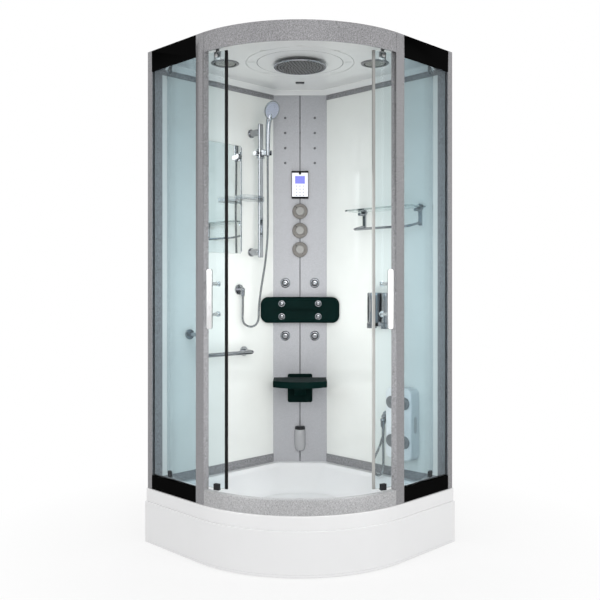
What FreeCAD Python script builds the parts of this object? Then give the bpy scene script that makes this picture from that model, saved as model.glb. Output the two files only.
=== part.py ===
"""Steam shower cabin: a quadrant tray, a framed glass front with two sliding doors and a fitted column.

Millimetres, +Z up. The origin is on the floor, in the middle of the square that the cabin fits.
The back walls are the planes x = side / 2 and y = side / 2. Places inside the cabin are given by
two distances from the inner corner: p from the right wall and q from the left wall. Along the
corner's diagonal they are u, to the right as seen from the doors, and d, out from the corner.
"""

import FreeCAD
import Part
import math
import os

Vector = FreeCAD.Vector

# Overall
side = 1000.0
flat = 390.0
total_height = 2240.0
frame_inset = 14.0
fit = 0.05
face_gap = 0.3

# Tray and its base
tray_height = 247.0
rim_height = 58.0
rim_inset = 7.0
acrylic = 6.0
apron_wall = 3.0
apron_lift = 4.0
apron_lip = 14.0
basin_depth = 117.0
basin_front = 62.0
basin_back = 50.0
basin_cut = 225.0
floor_front = 130.0
floor_back = 170.0
floor_cut = 330.0
basin_corner = 60.0
drain_from_wall = 375.0
drain_bore = 90.0
drain_dome = 112.0
drain_dome_height = 18.0
spigot_gap = 3.0
spigot_wall = 4.0
spigot_length = 12.0
trap_diameter = 104.0
trap_height = 100.0
trap_floor = 4.0
outlet_rise = 11.0
outlet_diameter = 40.0
outlet_wall = 2.5
outlet_length = 60.0
outlet_collar = 58.0
collar_length = 8.0
base_tube = 30.0
base_tube_wall = 2.5
base_near = 115.0
base_far = 690.0
base_overhang = 60.0
foot_diameter = 50.0
foot_thickness = 10.0
foot_rod = 12.0
foot_nut = 9.0

# Aluminium frame
frame_depth = 28.0
sheet = 3.0
post_wall = 2.0
post_width = 32.0
post_return = 22.0
rail_height = 63.0
header_height = 85.0
side_header_height = 96.0
side_sill_height = 62.0
glass = 6.0
glass_inset = 6.0
glass_grip = 10.0
seal_bead = 4.0

# Doors
door_inset = 54.0
door_span_deg = 46.0
door_closed_deg = 0.03
door_stop = 17.45
handle_stop = 10.0
lead_roller_deg = 5.5
trail_roller_deg = 5.0
door_bottom_gap = 3.5
track_thickness = 3.0
track_reach = 36.0
track_drop = 72.0
door_top_gap = 4.0
wheel_diameter = 22.0
wheel_width = 8.0
wheel_standoff = 23.0
axle_diameter = 6.0
hanger_width = 34.0
hanger_neck = 16.0
hanger_thickness = 3.0
bolt_diameter = 8.0
bolt_head = 16.0
bolt_head_height = 4.0
hub_wall = 2.5
guide_width = 26.0
guide_height = 18.0
guide_wall = 5.0
seal_width = 12.0
seal_thickness = 9.0
handle_deg = 5.3
handle_length = 250.0
handle_width = 25.0
handle_thickness = 8.0
handle_corner = 8.5
handle_clear = 53.0
handle_pitch = 128.0
handle_z = 1115.0
standoff_diameter = 14.0
standoff_screw = 10.0
cap_diameter = 24.0
cap_thickness = 6.0

# Back walls
panel_back = 8.0
panel_thickness = 4.0
back_rail_depth = 16.0
back_rail_height = 43.0
stile_width = 44.0
panel_start = 190.0

# Ceiling
ceiling_drop = 50.0
ceiling_sheet = 4.0
ceiling_inset = 86.0
ceiling_flange = 3.0
ring_radii = (197.0, 247.0)
ring_groove = 3.0
groove_depth = 2.0
overhead_diameter = 242.0
overhead_thickness = 9.0
overhead_drop = 12.0
overhead_stem = 30.0
shower_p = 492.0
speaker_diameter = 128.0
speaker_u = 343.0
speaker_rim = 13.0
speaker_height = 5.0
speaker_recess = 2.0
fan_d = 354.0
fan_width = 44.0
fan_depth = 26.0
fan_height = 4.0

# Column
column_half = 141.0
column_sheet = 3.0
groove_width = 6.0
controller_z = 1701.0
controller_width = 88.0
controller_height = 143.0
controller_depth = 16.0
controller_corner = 8.0
screen_width = 70.0
screen_height = 101.0
screen_sheet = 2.0
screen_corner = 5.0
screen_gap = 0.1
knob_heights = (1562.0, 1461.0, 1361.0)
knob_diameter = 80.0
knob_depth = 26.0
knob_ring_depth = 18.2
knob_middle = 44.8
knob_edge = 4.0
knob_stand = 4.0
spindle_diameter = 8.0
spindle_grip = 17.0
spindle_room = 2.0
valve_width = 60.0
valve_depth = 40.0
valve_margin = 34.0
valve_nose = 26.0
valve_behind = 12.0
inlet_diameter = 20.955
inlet_length = 18.0
inlet_spread = 34.0
inlet_bore = 15.0
inlet_depth = 12.0
inlet_rise = 30.0
jet_heights = (1186.0, 908.0)
jet_u = 77.5
jet_diameter = 52.0
jet_height = 11.0
jet_stem = 16.0
jet_stem_length = 20.0
jet_nozzle = 0.62
jet_mouth = 0.22
jet_mouth_depth = 4.0
pad_jet_diameter = 36.0
pad_jet_u = 95.0
pad_jet_heights = (1078.0, 1012.0)
pad_jet_height = 8.0
pad_jet_room = 1.0

# Backrest and seat
pad_width = 408.0
pad_height = 135.0
pad_z = 978.0
pad_corner = 40.0
pad_trim = 5.0
pad_front_middle = 205.0
pad_front_end = 235.0
seat_width = 270.0
seat_depth = 222.0
seat_thickness = 32.0
seat_top_z = 697.0
seat_bow = 60.0
hinge_d = 200.0
hinge_z = 683.0
hinge_pin = 10.0
hinge_ear = 22.0
seat_back_d = 220.0
bracket_width = 129.0
bracket_bottom = 560.0
bracket_plate = 12.0
bracket_rise = 12.0
bracket_corner = 10.0
cheek = 8.0
cheek_inset = 4.0
pin_inset = 2.0
arm_width = 16.0
arm_gap = 0.5
arm_height = 16.0
console_depth = 90.0
console_rib = 30.0
console_drop = 70.0
console_lip = 10.0
console_gap = 4.0

# Steam outlet and what stands behind the column
hood_width = 60.0
hood_bottom = 304.0
hood_top = 435.0
hood_depth = 42.0
hood_wall = 3.0
hood_corner = 26.0
hood_cap = 10.0
mouth_near = 4.0
mouth_far = 8.0
mouth_depth = 20.0
boiler_diameter = 96.0
boiler_d = 82.0
boiler_z = 345.0
boiler_height = 250.0
boiler_edge = 14.0
boiler_arm_width = 60.0
boiler_arm_height = 80.0
boiler_core = 20.0
steam_pipe = 22.0
steam_pipe_wall = 3.0
steam_pipe_out = 14.0
steam_pipe_z = 400.0
control_width = 104.0
control_height = 170.0
control_depth = 50.0
control_gap = 5.0
control_corner = 6.0
standoff_pad = 20.0
standoff_pad_u = 34.0
standoff_pad_in = 20.0

# Left wall
mirror_a = (432.0, 667.0)
mirror_drop = 313.0
mirror_height = 543.0
mirror_thickness = 5.0
mirror_corner = 14.0
bar_a = 367.0
bar_b = 85.0
bar_drop = 201.0
bar_length = 675.0
bar_width = 30.0
bar_thickness = 14.0
bar_bracket_in = (28.0, 40.0)
bar_bracket_sink = 4.0
bar_bracket_diameter = 34.0
bar_bracket_flange = 44.0
bar_flange_thickness = 5.0
slider_drop = 352.0
slider_height = 46.0
slider_wall = 7.0
slider_knob = 26.0
slider_knob_sink = 3.0
slider_knob_out = 18.0
fork_arm = 16.0
fork_height = 24.0
fork_bridge = 6.0
fork_arm_off = 2.0
holder_b = 138.0
holder_gap = 4.0
holder_cheek = 5.0
cheek_reach = 10.0
handset_lean_deg = 22.0
handset_head = 98.0
handset_head_thickness = 20.0
handset_reach = 210.0
handset_offset = 26.0
handset_grip = 24.0
handset_nose = 19.0
nose_drop = 20.0
neck_share = 0.62
throat_share = 0.25
trunnion = 8.0
dish_drop = 582.0
dish_length = 120.0
dish_depth = 92.0
dish_height = 24.0
dish_wall = 3.0
dish_ring_height = 26.0
dish_ring_wall = 6.0
dish_corner = 18.0
dish_off_bar = 4.0
grab_a = (419.0, 725.0)
grab_b = 95.0
grab_z = 840.0
grab_end = (758.0, 940.0)
grab_diameter = 20.0
grab_bend = 28.0
grab_flange = 48.0
flange_thickness = 9.0

# Right wall
shelf_a = (438.0, 852.0)
shelf_z = 1537.0
shelf_thickness = 8.0
shelf_depth = 118.0
shelf_corner = 30.0
shelf_back_corner = 2.0
shelf_off_wall = 10.0
shelf_bracket_a = (474.0, 816.0)
rail_drop = 88.0
rail_out = 92.0
rail_rod = 12.0
rail_rise = 20.0
rail_sink = 3.0
rail_bend = 21.6
boss_diameter = 34.0
boss_depth = 12.0
shelf_arm = 16.0
shelf_arm_drop = 9.0
shelf_arm_length = 46.0
spine_width = 18.0
spine_depth = 8.0
spine_rise = 6.0
spine_top = 2.0
dispenser_a = (530.0, 699.0)
dispenser_z = (972.0, 1138.0)
dispenser_depth = 78.0
dispenser_wall = 3.0
dispenser_corner = 22.0
lever_overhang = 6.0
lever_drop = 8.0
lever_width = 34.0
lever_height = 20.0
lever_depth = 38.0
lever_travel = 5.0
lever_edge = 5.0
massager_a = (653.0, 806.0)
massager_z = (345.0, 687.0)
massager_depth = 62.0
massager_corner = 30.0
massager_edge = 9.0
massager_wall = 4.0
disc_diameter = 60.0
disc_height = 8.0
disc_well = 3.0
disc_floor_rim = 12.0
disc_mouth_rim = 5.0
nub_diameter = 12.0
nub_rise = 2.0
disc_a = (692.0, 767.0)
disc_z = (433.0, 616.0)

# Hoses: the routes are chosen by hand, as distances along the wall and off the wall, then the
# drop from the handset's end (shower hose) or the height (foot hose)
hose_diameter = 12.0
hose_nut = 19.0
hose_nut_length = 22.0
nut_taper = 1.0
nut_overlap = 4.0
elbow_flange = 52.0
elbow_flange_thickness = 8.0
elbow_pipe = 22.0
elbow_rise = 12.0
side_elbow_in = 20.0
foot_outlet = (618.0, 40.0, 500.0)
foot_inlet = (640.0, 75.0, 490.0)
shower_line = (
    (bar_a, holder_b, 0.0),
    (367.0, 138.0, 108.0),
    (369.0, 142.0, 253.0),
    (367.0, 139.0, 403.0),
    (373.0, 128.0, 528.0),
    (381.0, 108.0, 643.0),
    (387.0, 93.0, 750.0),
    (386.0, 92.0, 835.0),
    (418.0, 68.0, 858.0),
    (452.0, 42.0, 835.0),
    (450.0, 44.0, 766.0),
    (450.0, 44.0, 700.0),
)
foot_route = (
    foot_outlet,
    (618.0, 40.0, 460.0),
    (609.0, 46.0, 412.0),
    (591.0, 54.0, 365.0),
    (573.0, 61.0, 325.0),
    (564.0, 66.0, 270.0),
    (605.0, 74.0, 246.0),
    (646.0, 79.0, 270.0),
    (647.0, 79.0, 332.0),
    (645.0, 78.0, 395.0),
    (640.0, 75.0, 446.0),
    foot_inlet,
)

# Worked out from the sizes above
half = side / 2
corner_radius = side - flat
arc_centre = half - flat
frame_radius = corner_radius - frame_inset
door_radius = frame_radius - door_inset
post_deg = math.degrees(post_return / frame_radius)
rear_limit = 45 - door_span_deg + math.degrees((flat - post_width - door_stop) / door_radius)
handle_reach = handle_deg + math.degrees((handle_width / 2 + handle_stop) / door_radius)
door_open_deg = min(rear_limit, 45 - post_deg - handle_reach)
panel_face = panel_back + panel_thickness
column_face = column_half + panel_face * math.sqrt(2)
column_rear = column_face - column_sheet
rail_top = tray_height + rail_height
basin_floor_z = tray_height - basin_depth
track_z = total_height - track_drop
wheel_z = track_z + track_thickness + wheel_diameter / 2 + fit
door_bottom = rail_top + door_bottom_gap
door_top = track_z - door_top_gap
wheel_in = door_radius + wheel_standoff
ceiling_z = total_height - ceiling_drop
mirror_z = (ceiling_z - mirror_drop - mirror_height, ceiling_z - mirror_drop)
bar_z = (ceiling_z - bar_drop - bar_length, ceiling_z - bar_drop)
bar_bracket_z = (bar_z[0] + bar_bracket_in[0], bar_z[1] - bar_bracket_in[1])
slider_z = ceiling_z - slider_drop
dish_z = ceiling_z - dish_drop
hose_top = slider_z - nose_drop
shower_route = [(a, b, hose_top - drop) for a, b, drop in shower_line]
shower_outlet = shower_route[-1]


def corner_box(p0, p1, q0, q1, z0, z1):
    """Box between two distances from each back wall."""
    return Part.makeBox(p1 - p0, q1 - q0, z1 - z0, Vector(half - p1, half - q1, z0))


def left_point(a, b, z):
    """Point a along the left wall from the corner and b off it."""
    return Vector(half - a, half - b, z)


def right_point(a, b, z):
    """Point a along the right wall from the corner and b off it."""
    return Vector(half - b, half - a, z)


def mirrored(shape):
    """The same piece on the other side of the corner's diagonal."""
    return shape.mirror(Vector(0, 0, 0), Vector(1, -1, 0))


def on_diagonal(shape):
    """Carries a shape from (u, -d, z) to its place on the corner's diagonal."""
    placed = shape.copy()
    placed.rotate(Vector(0, 0, 0), Vector(0, 0, 1), -45)
    placed.translate(Vector(half, half, 0))
    return placed


def diagonal_box(u0, u1, d0, d1, z0, z1):
    """Box given by its place along and across the diagonal."""
    return on_diagonal(Part.makeBox(u1 - u0, d1 - d0, z1 - z0, Vector(u0, -d1, z0)))


def diagonal_point(u, d, z):
    """Point given by its place along and across the diagonal."""
    return Vector(half - (d - u) / math.sqrt(2), half - (d + u) / math.sqrt(2), z)


out_of_corner = Vector(-1, -1, 0) / math.sqrt(2)
across = Vector(1, -1, 0) / math.sqrt(2)
up = Vector(0, 0, 1)


def rod(diameter, start, end):
    """Round bar between two points."""
    along = end - start
    return Part.makeCylinder(diameter / 2, along.Length, start, along)


def pipe(outer, inner, start, end):
    """Round tube between two points."""
    return rod(outer, start, end).cut(rod(inner, start, end))


def rounded_outline(points, radii):
    """Closed wire through corner points, each rounded by its radius."""
    ends = []
    count = len(points)
    for i in range(count):
        corner = points[i]
        back = (points[i - 1] - corner).normalize()
        ahead = (points[(i + 1) % count] - corner).normalize()
        turn = back.getAngle(ahead) / 2
        reach = radii[i] / math.tan(turn)
        middle = (back + ahead).normalize() * (radii[i] / math.sin(turn) - radii[i])
        ends.append((corner + back * reach, corner + middle, corner + ahead * reach))
    edges = []
    for i in range(count):
        start, middle, end = ends[i]
        edges.append(Part.Arc(start, middle, end).toShape())
        following = ends[(i + 1) % count][0]
        if (following - end).Length > 1e-6:
            edges.append(Part.LineSegment(end, following).toShape())
    return Part.Wire(edges)


def rounded_plate(points, radius, thickness):
    """Flat plate with rounded corners, grown along a thickness vector."""
    wire = rounded_outline(points, [radius] * len(points))
    return Part.Face(wire).extrude(thickness)


def left_plate(a0, a1, z0, z1, b0, b1, radius):
    """Rounded plate on the left wall."""
    corners = [left_point(a, b0, z) for a, z in ((a0, z0), (a1, z0), (a1, z1), (a0, z1))]
    return rounded_plate(corners, radius, Vector(0, b0 - b1, 0))


def diagonal_plate(half_width, z0, z1, d0, d1, radius):
    """Rounded plate on the column."""
    corners = [
        diagonal_point(u, d0, z)
        for u, z in (
            (-half_width, z0),
            (half_width, z0),
            (half_width, z1),
            (-half_width, z1),
        )
    ]
    return rounded_plate(corners, radius, out_of_corner * (d1 - d0))


def tray_outline(inset, back, cut, z, corner):
    """Rounded outline of the tray's plan, inset from its front and back."""
    far = side - inset
    plan = ((back, cut), (cut, back), (far, back), (far, far), (back, far))
    points = [Vector(half - p, half - q, z) for p, q in plan]
    radii = [corner, corner, corner, corner_radius - inset, corner]
    return rounded_outline(points, radii)


def quadrant(inset, z0, z1, back=0.0):
    """Solid between the back walls and the curved front."""
    near = half - back
    edge = half - inset
    radius = corner_radius - inset
    bend = arc_centre - radius / math.sqrt(2)
    start = Vector(-edge, arc_centre, z0)
    end = Vector(arc_centre, -edge, z0)
    corners = [
        end,
        Vector(near, -edge, z0),
        Vector(near, near, z0),
        Vector(-edge, near, z0),
        start,
    ]
    edges = [Part.LineSegment(a, b).toShape() for a, b in zip(corners, corners[1:])]
    edges.append(Part.Arc(start, Vector(bend, bend, z0), end).toShape())
    return Part.Face(Part.Wire(edges)).extrude(Vector(0, 0, z1 - z0))


def front_band(inset0, inset1, z0, z1, back=0.0):
    """Wall that follows the front, between two insets."""
    return quadrant(inset0, z0, z1, back).cut(quadrant(inset1, z0 - 1, z1 + 1, back - 1))


def arc_band(r0, r1, from_deg, to_deg, z0, z1):
    """Ring part about the front's centre; angles from the diagonal, right positive."""
    base = Vector(arc_centre, arc_centre, z0)
    turn = to_deg - from_deg
    outer = Part.makeCylinder(r1, z1 - z0, base, up, turn)
    inner = Part.makeCylinder(r0, z1 - z0, base, up, turn)
    ring = outer.cut(inner)
    ring.rotate(base, up, 225 + from_deg)
    return ring


def arc_point(radius, degrees, z):
    """Point on the front's curve."""
    angle = math.radians(225 + degrees)
    return Vector(
        arc_centre + radius * math.cos(angle), arc_centre + radius * math.sin(angle), z
    )


def joined(shapes):
    """One solid from overlapping pieces."""
    return shapes[0].fuse(list(shapes[1:])).removeSplitter()


def group(shapes):
    """Separate solids that share a name."""
    return Part.makeCompound(list(shapes))


def hose(route, diameter, place):
    """Tube of straight runs joined by tangent arcs, with its least bend and its length."""
    points = [place(*point) for point in route]
    joins = [points[0]]
    radii = []
    arcs = []
    for before, corner, after in zip(points, points[1:], points[2:]):
        back = before - corner
        ahead = after - corner
        reach = 0.45 * min(back.Length, ahead.Length)
        half_turn = (math.pi - back.getAngle(ahead)) / 2
        radius = reach / math.tan(half_turn)
        start = corner + back.normalize() * reach
        end = corner + ahead.normalize() * reach
        towards = (back + ahead).normalize()
        middle = corner + towards * (radius / math.cos(half_turn) - radius)
        arcs.append((start, middle, end))
        radii.append(radius)
    edges = []
    for start, middle, end in arcs:
        edges.append(Part.LineSegment(joins[-1], start).toShape())
        edges.append(Part.Arc(start, middle, end).toShape())
        joins.append(end)
    edges.append(Part.LineSegment(joins[-1], points[-1]).toShape())
    path = Part.Wire(edges)
    first = (points[1] - points[0]).normalize()
    ring = Part.Wire(Part.makeCircle(diameter / 2, points[0], first))
    tube = path.makePipeShell([ring], True, False)
    expected = math.pi * diameter**2 / 4 * path.Length
    print("hose: length", round(path.Length), "least radius", round(min(radii), 1))
    print("  volume ratio", round(tube.Volume / expected, 4), "radii", [round(r) for r in radii])
    return tube


def shower_tray():
    """Acrylic tray: an open-bottomed rim round a sunken basin."""
    rim_bottom = tray_height - rim_height
    slab = quadrant(rim_inset, rim_bottom, tray_height)
    under = quadrant(rim_inset + acrylic, rim_bottom - 1, tray_height - acrylic, acrylic)
    mouth = tray_outline(basin_front, basin_back, basin_cut, tray_height, basin_corner)
    floor = tray_outline(floor_front, floor_back, floor_cut, basin_floor_z, basin_corner)
    basin = Part.makeLoft([floor, mouth], True, True)
    mouth_out = tray_outline(
        basin_front - acrylic, basin_back - acrylic, basin_cut - acrylic, tray_height, basin_corner
    )
    floor_out = tray_outline(
        floor_front - acrylic,
        floor_back - acrylic,
        floor_cut - acrylic,
        basin_floor_z - acrylic,
        basin_corner,
    )
    shell = Part.makeLoft([floor_out, mouth_out], True, True)
    drain = half - drain_from_wall
    hole = Part.makeCylinder(drain_bore / 2, 4 * acrylic, Vector(drain, drain, 0))
    hole.translate(Vector(0, 0, basin_floor_z - 2 * acrylic))
    return slab.cut(under).fuse(shell).cut(basin).cut(hole).removeSplitter()


def tray_apron():
    """Curved skirt that hangs under the rim, with a turned-in top lip."""
    top = tray_height - rim_height
    wall = front_band(0, apron_wall, apron_lift, top)
    lip = front_band(0, apron_lip, top - apron_wall, top)
    return joined([wall, lip])


def foot_places():
    """The crossings of the base frame's tubes."""
    return (
        (base_near, base_near),
        (base_near, base_far),
        (base_far, base_near),
        (base_far, base_far),
    )


def tray_frame():
    """Welded square tubes under the basin, on screwed feet."""
    top = basin_floor_z - acrylic
    z0 = top - base_tube
    start = base_near - base_overhang
    end = base_far + base_overhang
    tubes = []
    bores = []
    for offset in (base_near, base_far):
        low = offset - base_tube / 2
        high = offset + base_tube / 2
        tubes.append(corner_box(start, end, low, high, z0, top))
        tubes.append(corner_box(low, high, start, end, z0, top))
        bore_low = low + base_tube_wall
        bore_high = high - base_tube_wall
        floor = z0 + base_tube_wall
        roof = top - base_tube_wall
        bores.append(corner_box(start - 1, end + 1, bore_low, bore_high, floor, roof))
        bores.append(corner_box(bore_low, bore_high, start - 1, end + 1, floor, roof))
    return joined(tubes).cut(bores)


def tray_feet():
    """Four screwed feet with their lock nuts."""
    frame_z = basin_floor_z - acrylic - base_tube
    feet = []
    for p, q in foot_places():
        x, y = half - p, half - q
        pad = Part.makeCone(foot_diameter / 2, foot_rod, foot_thickness, Vector(x, y, 0))
        stud = Part.makeCylinder(foot_rod / 2, frame_z, Vector(x, y, 0))
        nut_z = frame_z - foot_nut
        nut = Part.makeCylinder(foot_rod, foot_nut, Vector(x, y, nut_z))
        feet.append(joined([pad, stud, nut]))
    return group(feet)


def drain_cover():
    """Domed cover with a spigot into the waste."""
    centre = half - drain_from_wall
    base = Vector(centre, centre, basin_floor_z)
    ball = (drain_dome**2 / 4 + drain_dome_height**2) / (2 * drain_dome_height)
    dome = Part.makeSphere(ball, base + up * (drain_dome_height - ball))
    keep = Part.makeCylinder(drain_dome / 2, drain_dome_height, base)
    outer = drain_bore - 2 * spigot_gap
    inner = outer - 2 * spigot_wall
    spigot = pipe(outer, inner, base - up * spigot_length, base + up * 2)
    return joined([dome.common(keep), spigot])


def drain_trap():
    """Waste body under the floor, with a side outlet."""
    centre = half - drain_from_wall
    top = basin_floor_z - acrylic
    bottom = top - trap_height
    body = rod(trap_diameter, Vector(centre, centre, bottom), Vector(centre, centre, top))
    well = rod(drain_bore, Vector(centre, centre, bottom + trap_floor), Vector(centre, centre, top + 1))
    axis_z = bottom + outlet_diameter / 2 + outlet_rise
    start = Vector(centre, centre, axis_z)
    collar_end = start + Vector(trap_diameter / 2 + collar_length, 0, 0)
    collar = rod(outlet_collar, start, collar_end)
    end = collar_end + Vector(outlet_length, 0, 0)
    spout = rod(outlet_diameter, start, end)
    way = rod(outlet_diameter - 2 * outlet_wall, start, end + Vector(1, 0, 0))
    return body.fuse([collar, spout]).cut(well).cut(way).removeSplitter()


def bottom_rail():
    """Curved hollow rail between the front posts."""
    reach = 45 - post_deg
    z0, z1 = tray_height, rail_top
    outer = arc_band(frame_radius - frame_depth, frame_radius, -reach, reach, z0, z1)
    hollow = arc_band(
        frame_radius - frame_depth + post_wall,
        frame_radius - post_wall,
        -reach - 1,
        reach + 1,
        z0 + post_wall,
        z1 - post_wall,
    )
    return outer.cut(hollow)


def top_header():
    """Curved header: a front plate under a top flange that covers the rollers."""
    reach = 45 - post_deg
    z1 = total_height
    inner = frame_radius - sheet - track_reach
    low = z1 - header_height
    plate = arc_band(frame_radius - sheet, frame_radius, -reach, reach, low, z1 - sheet)
    flange = arc_band(inner, frame_radius, -reach, reach, z1 - sheet, z1)
    return group([plate, flange])


def door_track():
    """Ledge that the rollers run on, along the curve and both flats."""
    inset0 = frame_inset + sheet
    inset1 = inset0 + track_reach
    return front_band(inset0, inset1, track_z, track_z + track_thickness, post_width)


def wall_post():
    """Hollow post at the free end of the left wall, with a groove for the side glass."""
    p1 = side - frame_inset
    p0 = p1 - frame_depth
    z0, z1 = tray_height, total_height
    post = corner_box(p0, p1, 0, post_width, z0, z1)
    hollow = corner_box(
        p0 + post_wall, p1 - post_wall, post_wall, post_width - glass_grip - post_wall, z0, z1
    )
    p_glass = p1 - glass_inset
    groove = corner_box(
        p_glass - glass, p_glass, post_width - glass_grip, post_width + 1, z0, z1
    )
    return post.cut(hollow).cut(groove)


def front_post():
    """Post where the flat side meets the curve: a hollow profile below the roller track, and the
    cover and cap that hide the rollers above it."""
    p1 = side - frame_inset
    p0 = p1 - frame_depth
    q1 = flat
    q0 = flat - post_width
    z0, z1 = tray_height, total_height
    notch_z = track_z - door_top_gap
    flat_part = corner_box(p0, p1, q0, q1, z0, notch_z)
    curve = 45 - post_deg
    r0 = frame_radius - frame_depth
    curved_part = arc_band(r0, frame_radius, -45, -curve, z0, notch_z)
    hollow = corner_box(
        p0 + post_wall, p1 - post_wall, q0 + glass_grip + post_wall, q1 - post_wall, z0 - 1, z1
    )
    curved_hollow = arc_band(
        r0 + post_wall, frame_radius - post_wall, -45 + 0.2, -curve - 0.2, z0 - 1, z1
    )
    p_glass = p1 - glass_inset
    groove = corner_box(p_glass - glass, p_glass, q0 - 1, q0 + glass_grip, z0, notch_z + 1)
    cap_z = z1 - sheet
    skin = corner_box(p1 - sheet, p1, q0, q1, notch_z, cap_z)
    curved_skin = arc_band(frame_radius - sheet, frame_radius, -45, -curve, notch_z, cap_z)
    reach = sheet + track_reach
    top = corner_box(p1 - reach, p1, q0, q1, cap_z, z1)
    curved_top = arc_band(frame_radius - reach, frame_radius, -45, -curve, cap_z, z1)
    lower = joined([flat_part, curved_part]).cut(hollow).cut(curved_hollow).cut(groove)
    return [lower, joined([skin, curved_skin]), joined([top, curved_top])]


def side_header():
    """Header plate, top flange and glass ledge over the left side glass."""
    p1 = side - frame_inset
    q0, q1 = post_width, flat - post_width
    z1 = total_height
    plate = corner_box(p1 - sheet, p1, q0, q1, z1 - side_header_height, z1 - sheet)
    flange = corner_box(p1 - sheet - track_reach, p1, q0, q1, z1 - sheet, z1)
    web_low = track_z - sheet
    web = corner_box(p1 - glass_inset - glass - sheet, p1 - sheet, q0, q1, web_low, track_z)
    return [plate, flange, web]


def side_sill():
    """Hollow sill under the left side glass, grooved for it."""
    p1 = side - frame_inset
    p0 = p1 - frame_depth
    q0, q1 = post_width, flat - post_width
    z0, z1 = tray_height, tray_height + side_sill_height
    body = corner_box(p0, p1, q0, q1, z0, z1)
    hollow_top = z1 - glass_grip - post_wall
    hollow = corner_box(p0 + post_wall, p1 - post_wall, q0 - 1, q1 + 1, z0 + post_wall, hollow_top)
    p_glass = p1 - glass_inset
    groove = corner_box(p_glass - glass, p_glass, q0 - 1, q1 + 1, z1 - glass_grip, z1 + 1)
    return body.cut(hollow).cut(groove)


def side_glass():
    """Fixed glass of the left flat side, held in the posts, the sill and the header."""
    p1 = side - frame_inset - glass_inset
    q0 = post_width - glass_grip
    q1 = flat - post_width + glass_grip
    z0 = tray_height + side_sill_height - glass_grip
    pane = corner_box(p1 - glass, p1, q0, q1, z0, track_z - sheet)
    return pane


def glazing_seals():
    """Soft beads on the inside of both side panes."""
    p1 = side - frame_inset - glass_inset - glass
    p0 = p1 - seal_bead
    q0, q1 = post_width, flat - post_width
    z0 = tray_height + side_sill_height
    z1 = track_z - sheet
    rails = [
        corner_box(p0, p1, q0, q0 + seal_bead, z0, z1),
        corner_box(p0, p1, q1 - seal_bead, q1, z0, z1),
        corner_box(p0, p1, q0 + seal_bead, q1 - seal_bead, z0, z0 + seal_bead),
        corner_box(p0, p1, q0 + seal_bead, q1 - seal_bead, z1 - seal_bead, z1),
    ]
    bead = joined(rails)
    return group([bead, mirrored(bead)])


class DoorPath:
    """The right door's closed and open places and the upright axis that carries one to the other."""

    def __init__(self):
        lead = door_closed_deg + lead_roller_deg
        trail = door_closed_deg + door_span_deg - trail_roller_deg
        self.lead_deg = lead
        self.trail_deg = trail
        closed_lead = arc_point(door_radius, lead, 0)
        closed_trail = arc_point(door_radius, trail, 0)
        open_lead = arc_point(door_radius, door_open_deg + lead_roller_deg, 0)
        spacing = (closed_lead - closed_trail).Length
        line_y = arc_centre - door_radius
        run = math.sqrt(spacing**2 - (open_lead.y - line_y) ** 2)
        open_trail = Vector(open_lead.x + run, line_y, 0)
        before = closed_trail - closed_lead
        after = open_trail - open_lead
        swing = math.atan2(after.y, after.x) - math.atan2(before.y, before.x)
        middle = (closed_lead + open_lead) / 2
        chord = open_lead - closed_lead
        normal = Vector(-chord.y, chord.x, 0).normalize()
        self.axis = middle + normal * (chord.Length / 2 / math.tan(swing / 2))
        self.swing_deg = math.degrees(swing)
        self.open_lead = open_lead
        self.open_trail = open_trail

    def opened(self, shape):
        """Carries a shape of the closed right door to its open place."""
        moved = shape.copy()
        moved.rotate(self.axis, up, self.swing_deg)
        return moved


door_path = DoorPath()


def radial(degrees):
    """Unit vector outwards from the front's centre."""
    angle = math.radians(225 + degrees)
    return Vector(math.cos(angle), math.sin(angle), 0)


def roller_angles():
    """Angles of the leading and trailing rollers on the closed right door."""
    return (door_path.lead_deg, door_path.trail_deg)


def door_glass():
    """Curved pane of the right door, drilled for its hangers and handle."""
    r0 = door_radius - glass / 2
    r1 = door_radius + glass / 2
    start = door_closed_deg + math.degrees(seal_width / door_radius) / 2
    end = door_closed_deg + door_span_deg
    pane = arc_band(r0, r1, start, end, door_bottom, door_top)
    grip = door_closed_deg + handle_deg
    holes = []
    for z in (handle_z - handle_pitch / 2, handle_z + handle_pitch / 2):
        inner = arc_point(r0 - 2, grip, z)
        holes.append(rod(standoff_screw + 2 * fit, inner, inner + radial(grip) * (glass + 4)))
    for angle in roller_angles():
        inner = arc_point(r0 - 2, angle, door_top - hanger_width / 2)
        hole = bolt_diameter + 2 * face_gap
        holes.append(rod(hole, inner, inner + radial(angle) * (glass + 4)))
    return door_path.opened(pane.cut(holes))


def door_seal():
    """Upright soft seal along the leading edge of the right door."""
    half_angle = math.degrees(seal_width / door_radius) / 2
    middle = door_closed_deg + half_angle
    r0 = door_radius - seal_thickness / 2
    r1 = door_radius + seal_thickness / 2
    start = middle - half_angle
    body = arc_band(r0, r1, start, middle + half_angle, door_bottom, door_top)
    slot = arc_band(
        door_radius - glass / 2,
        door_radius + glass / 2,
        middle,
        middle + 2 * half_angle,
        door_bottom - 1,
        door_top + 1,
    )
    return door_path.opened(body.cut(slot))


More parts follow.
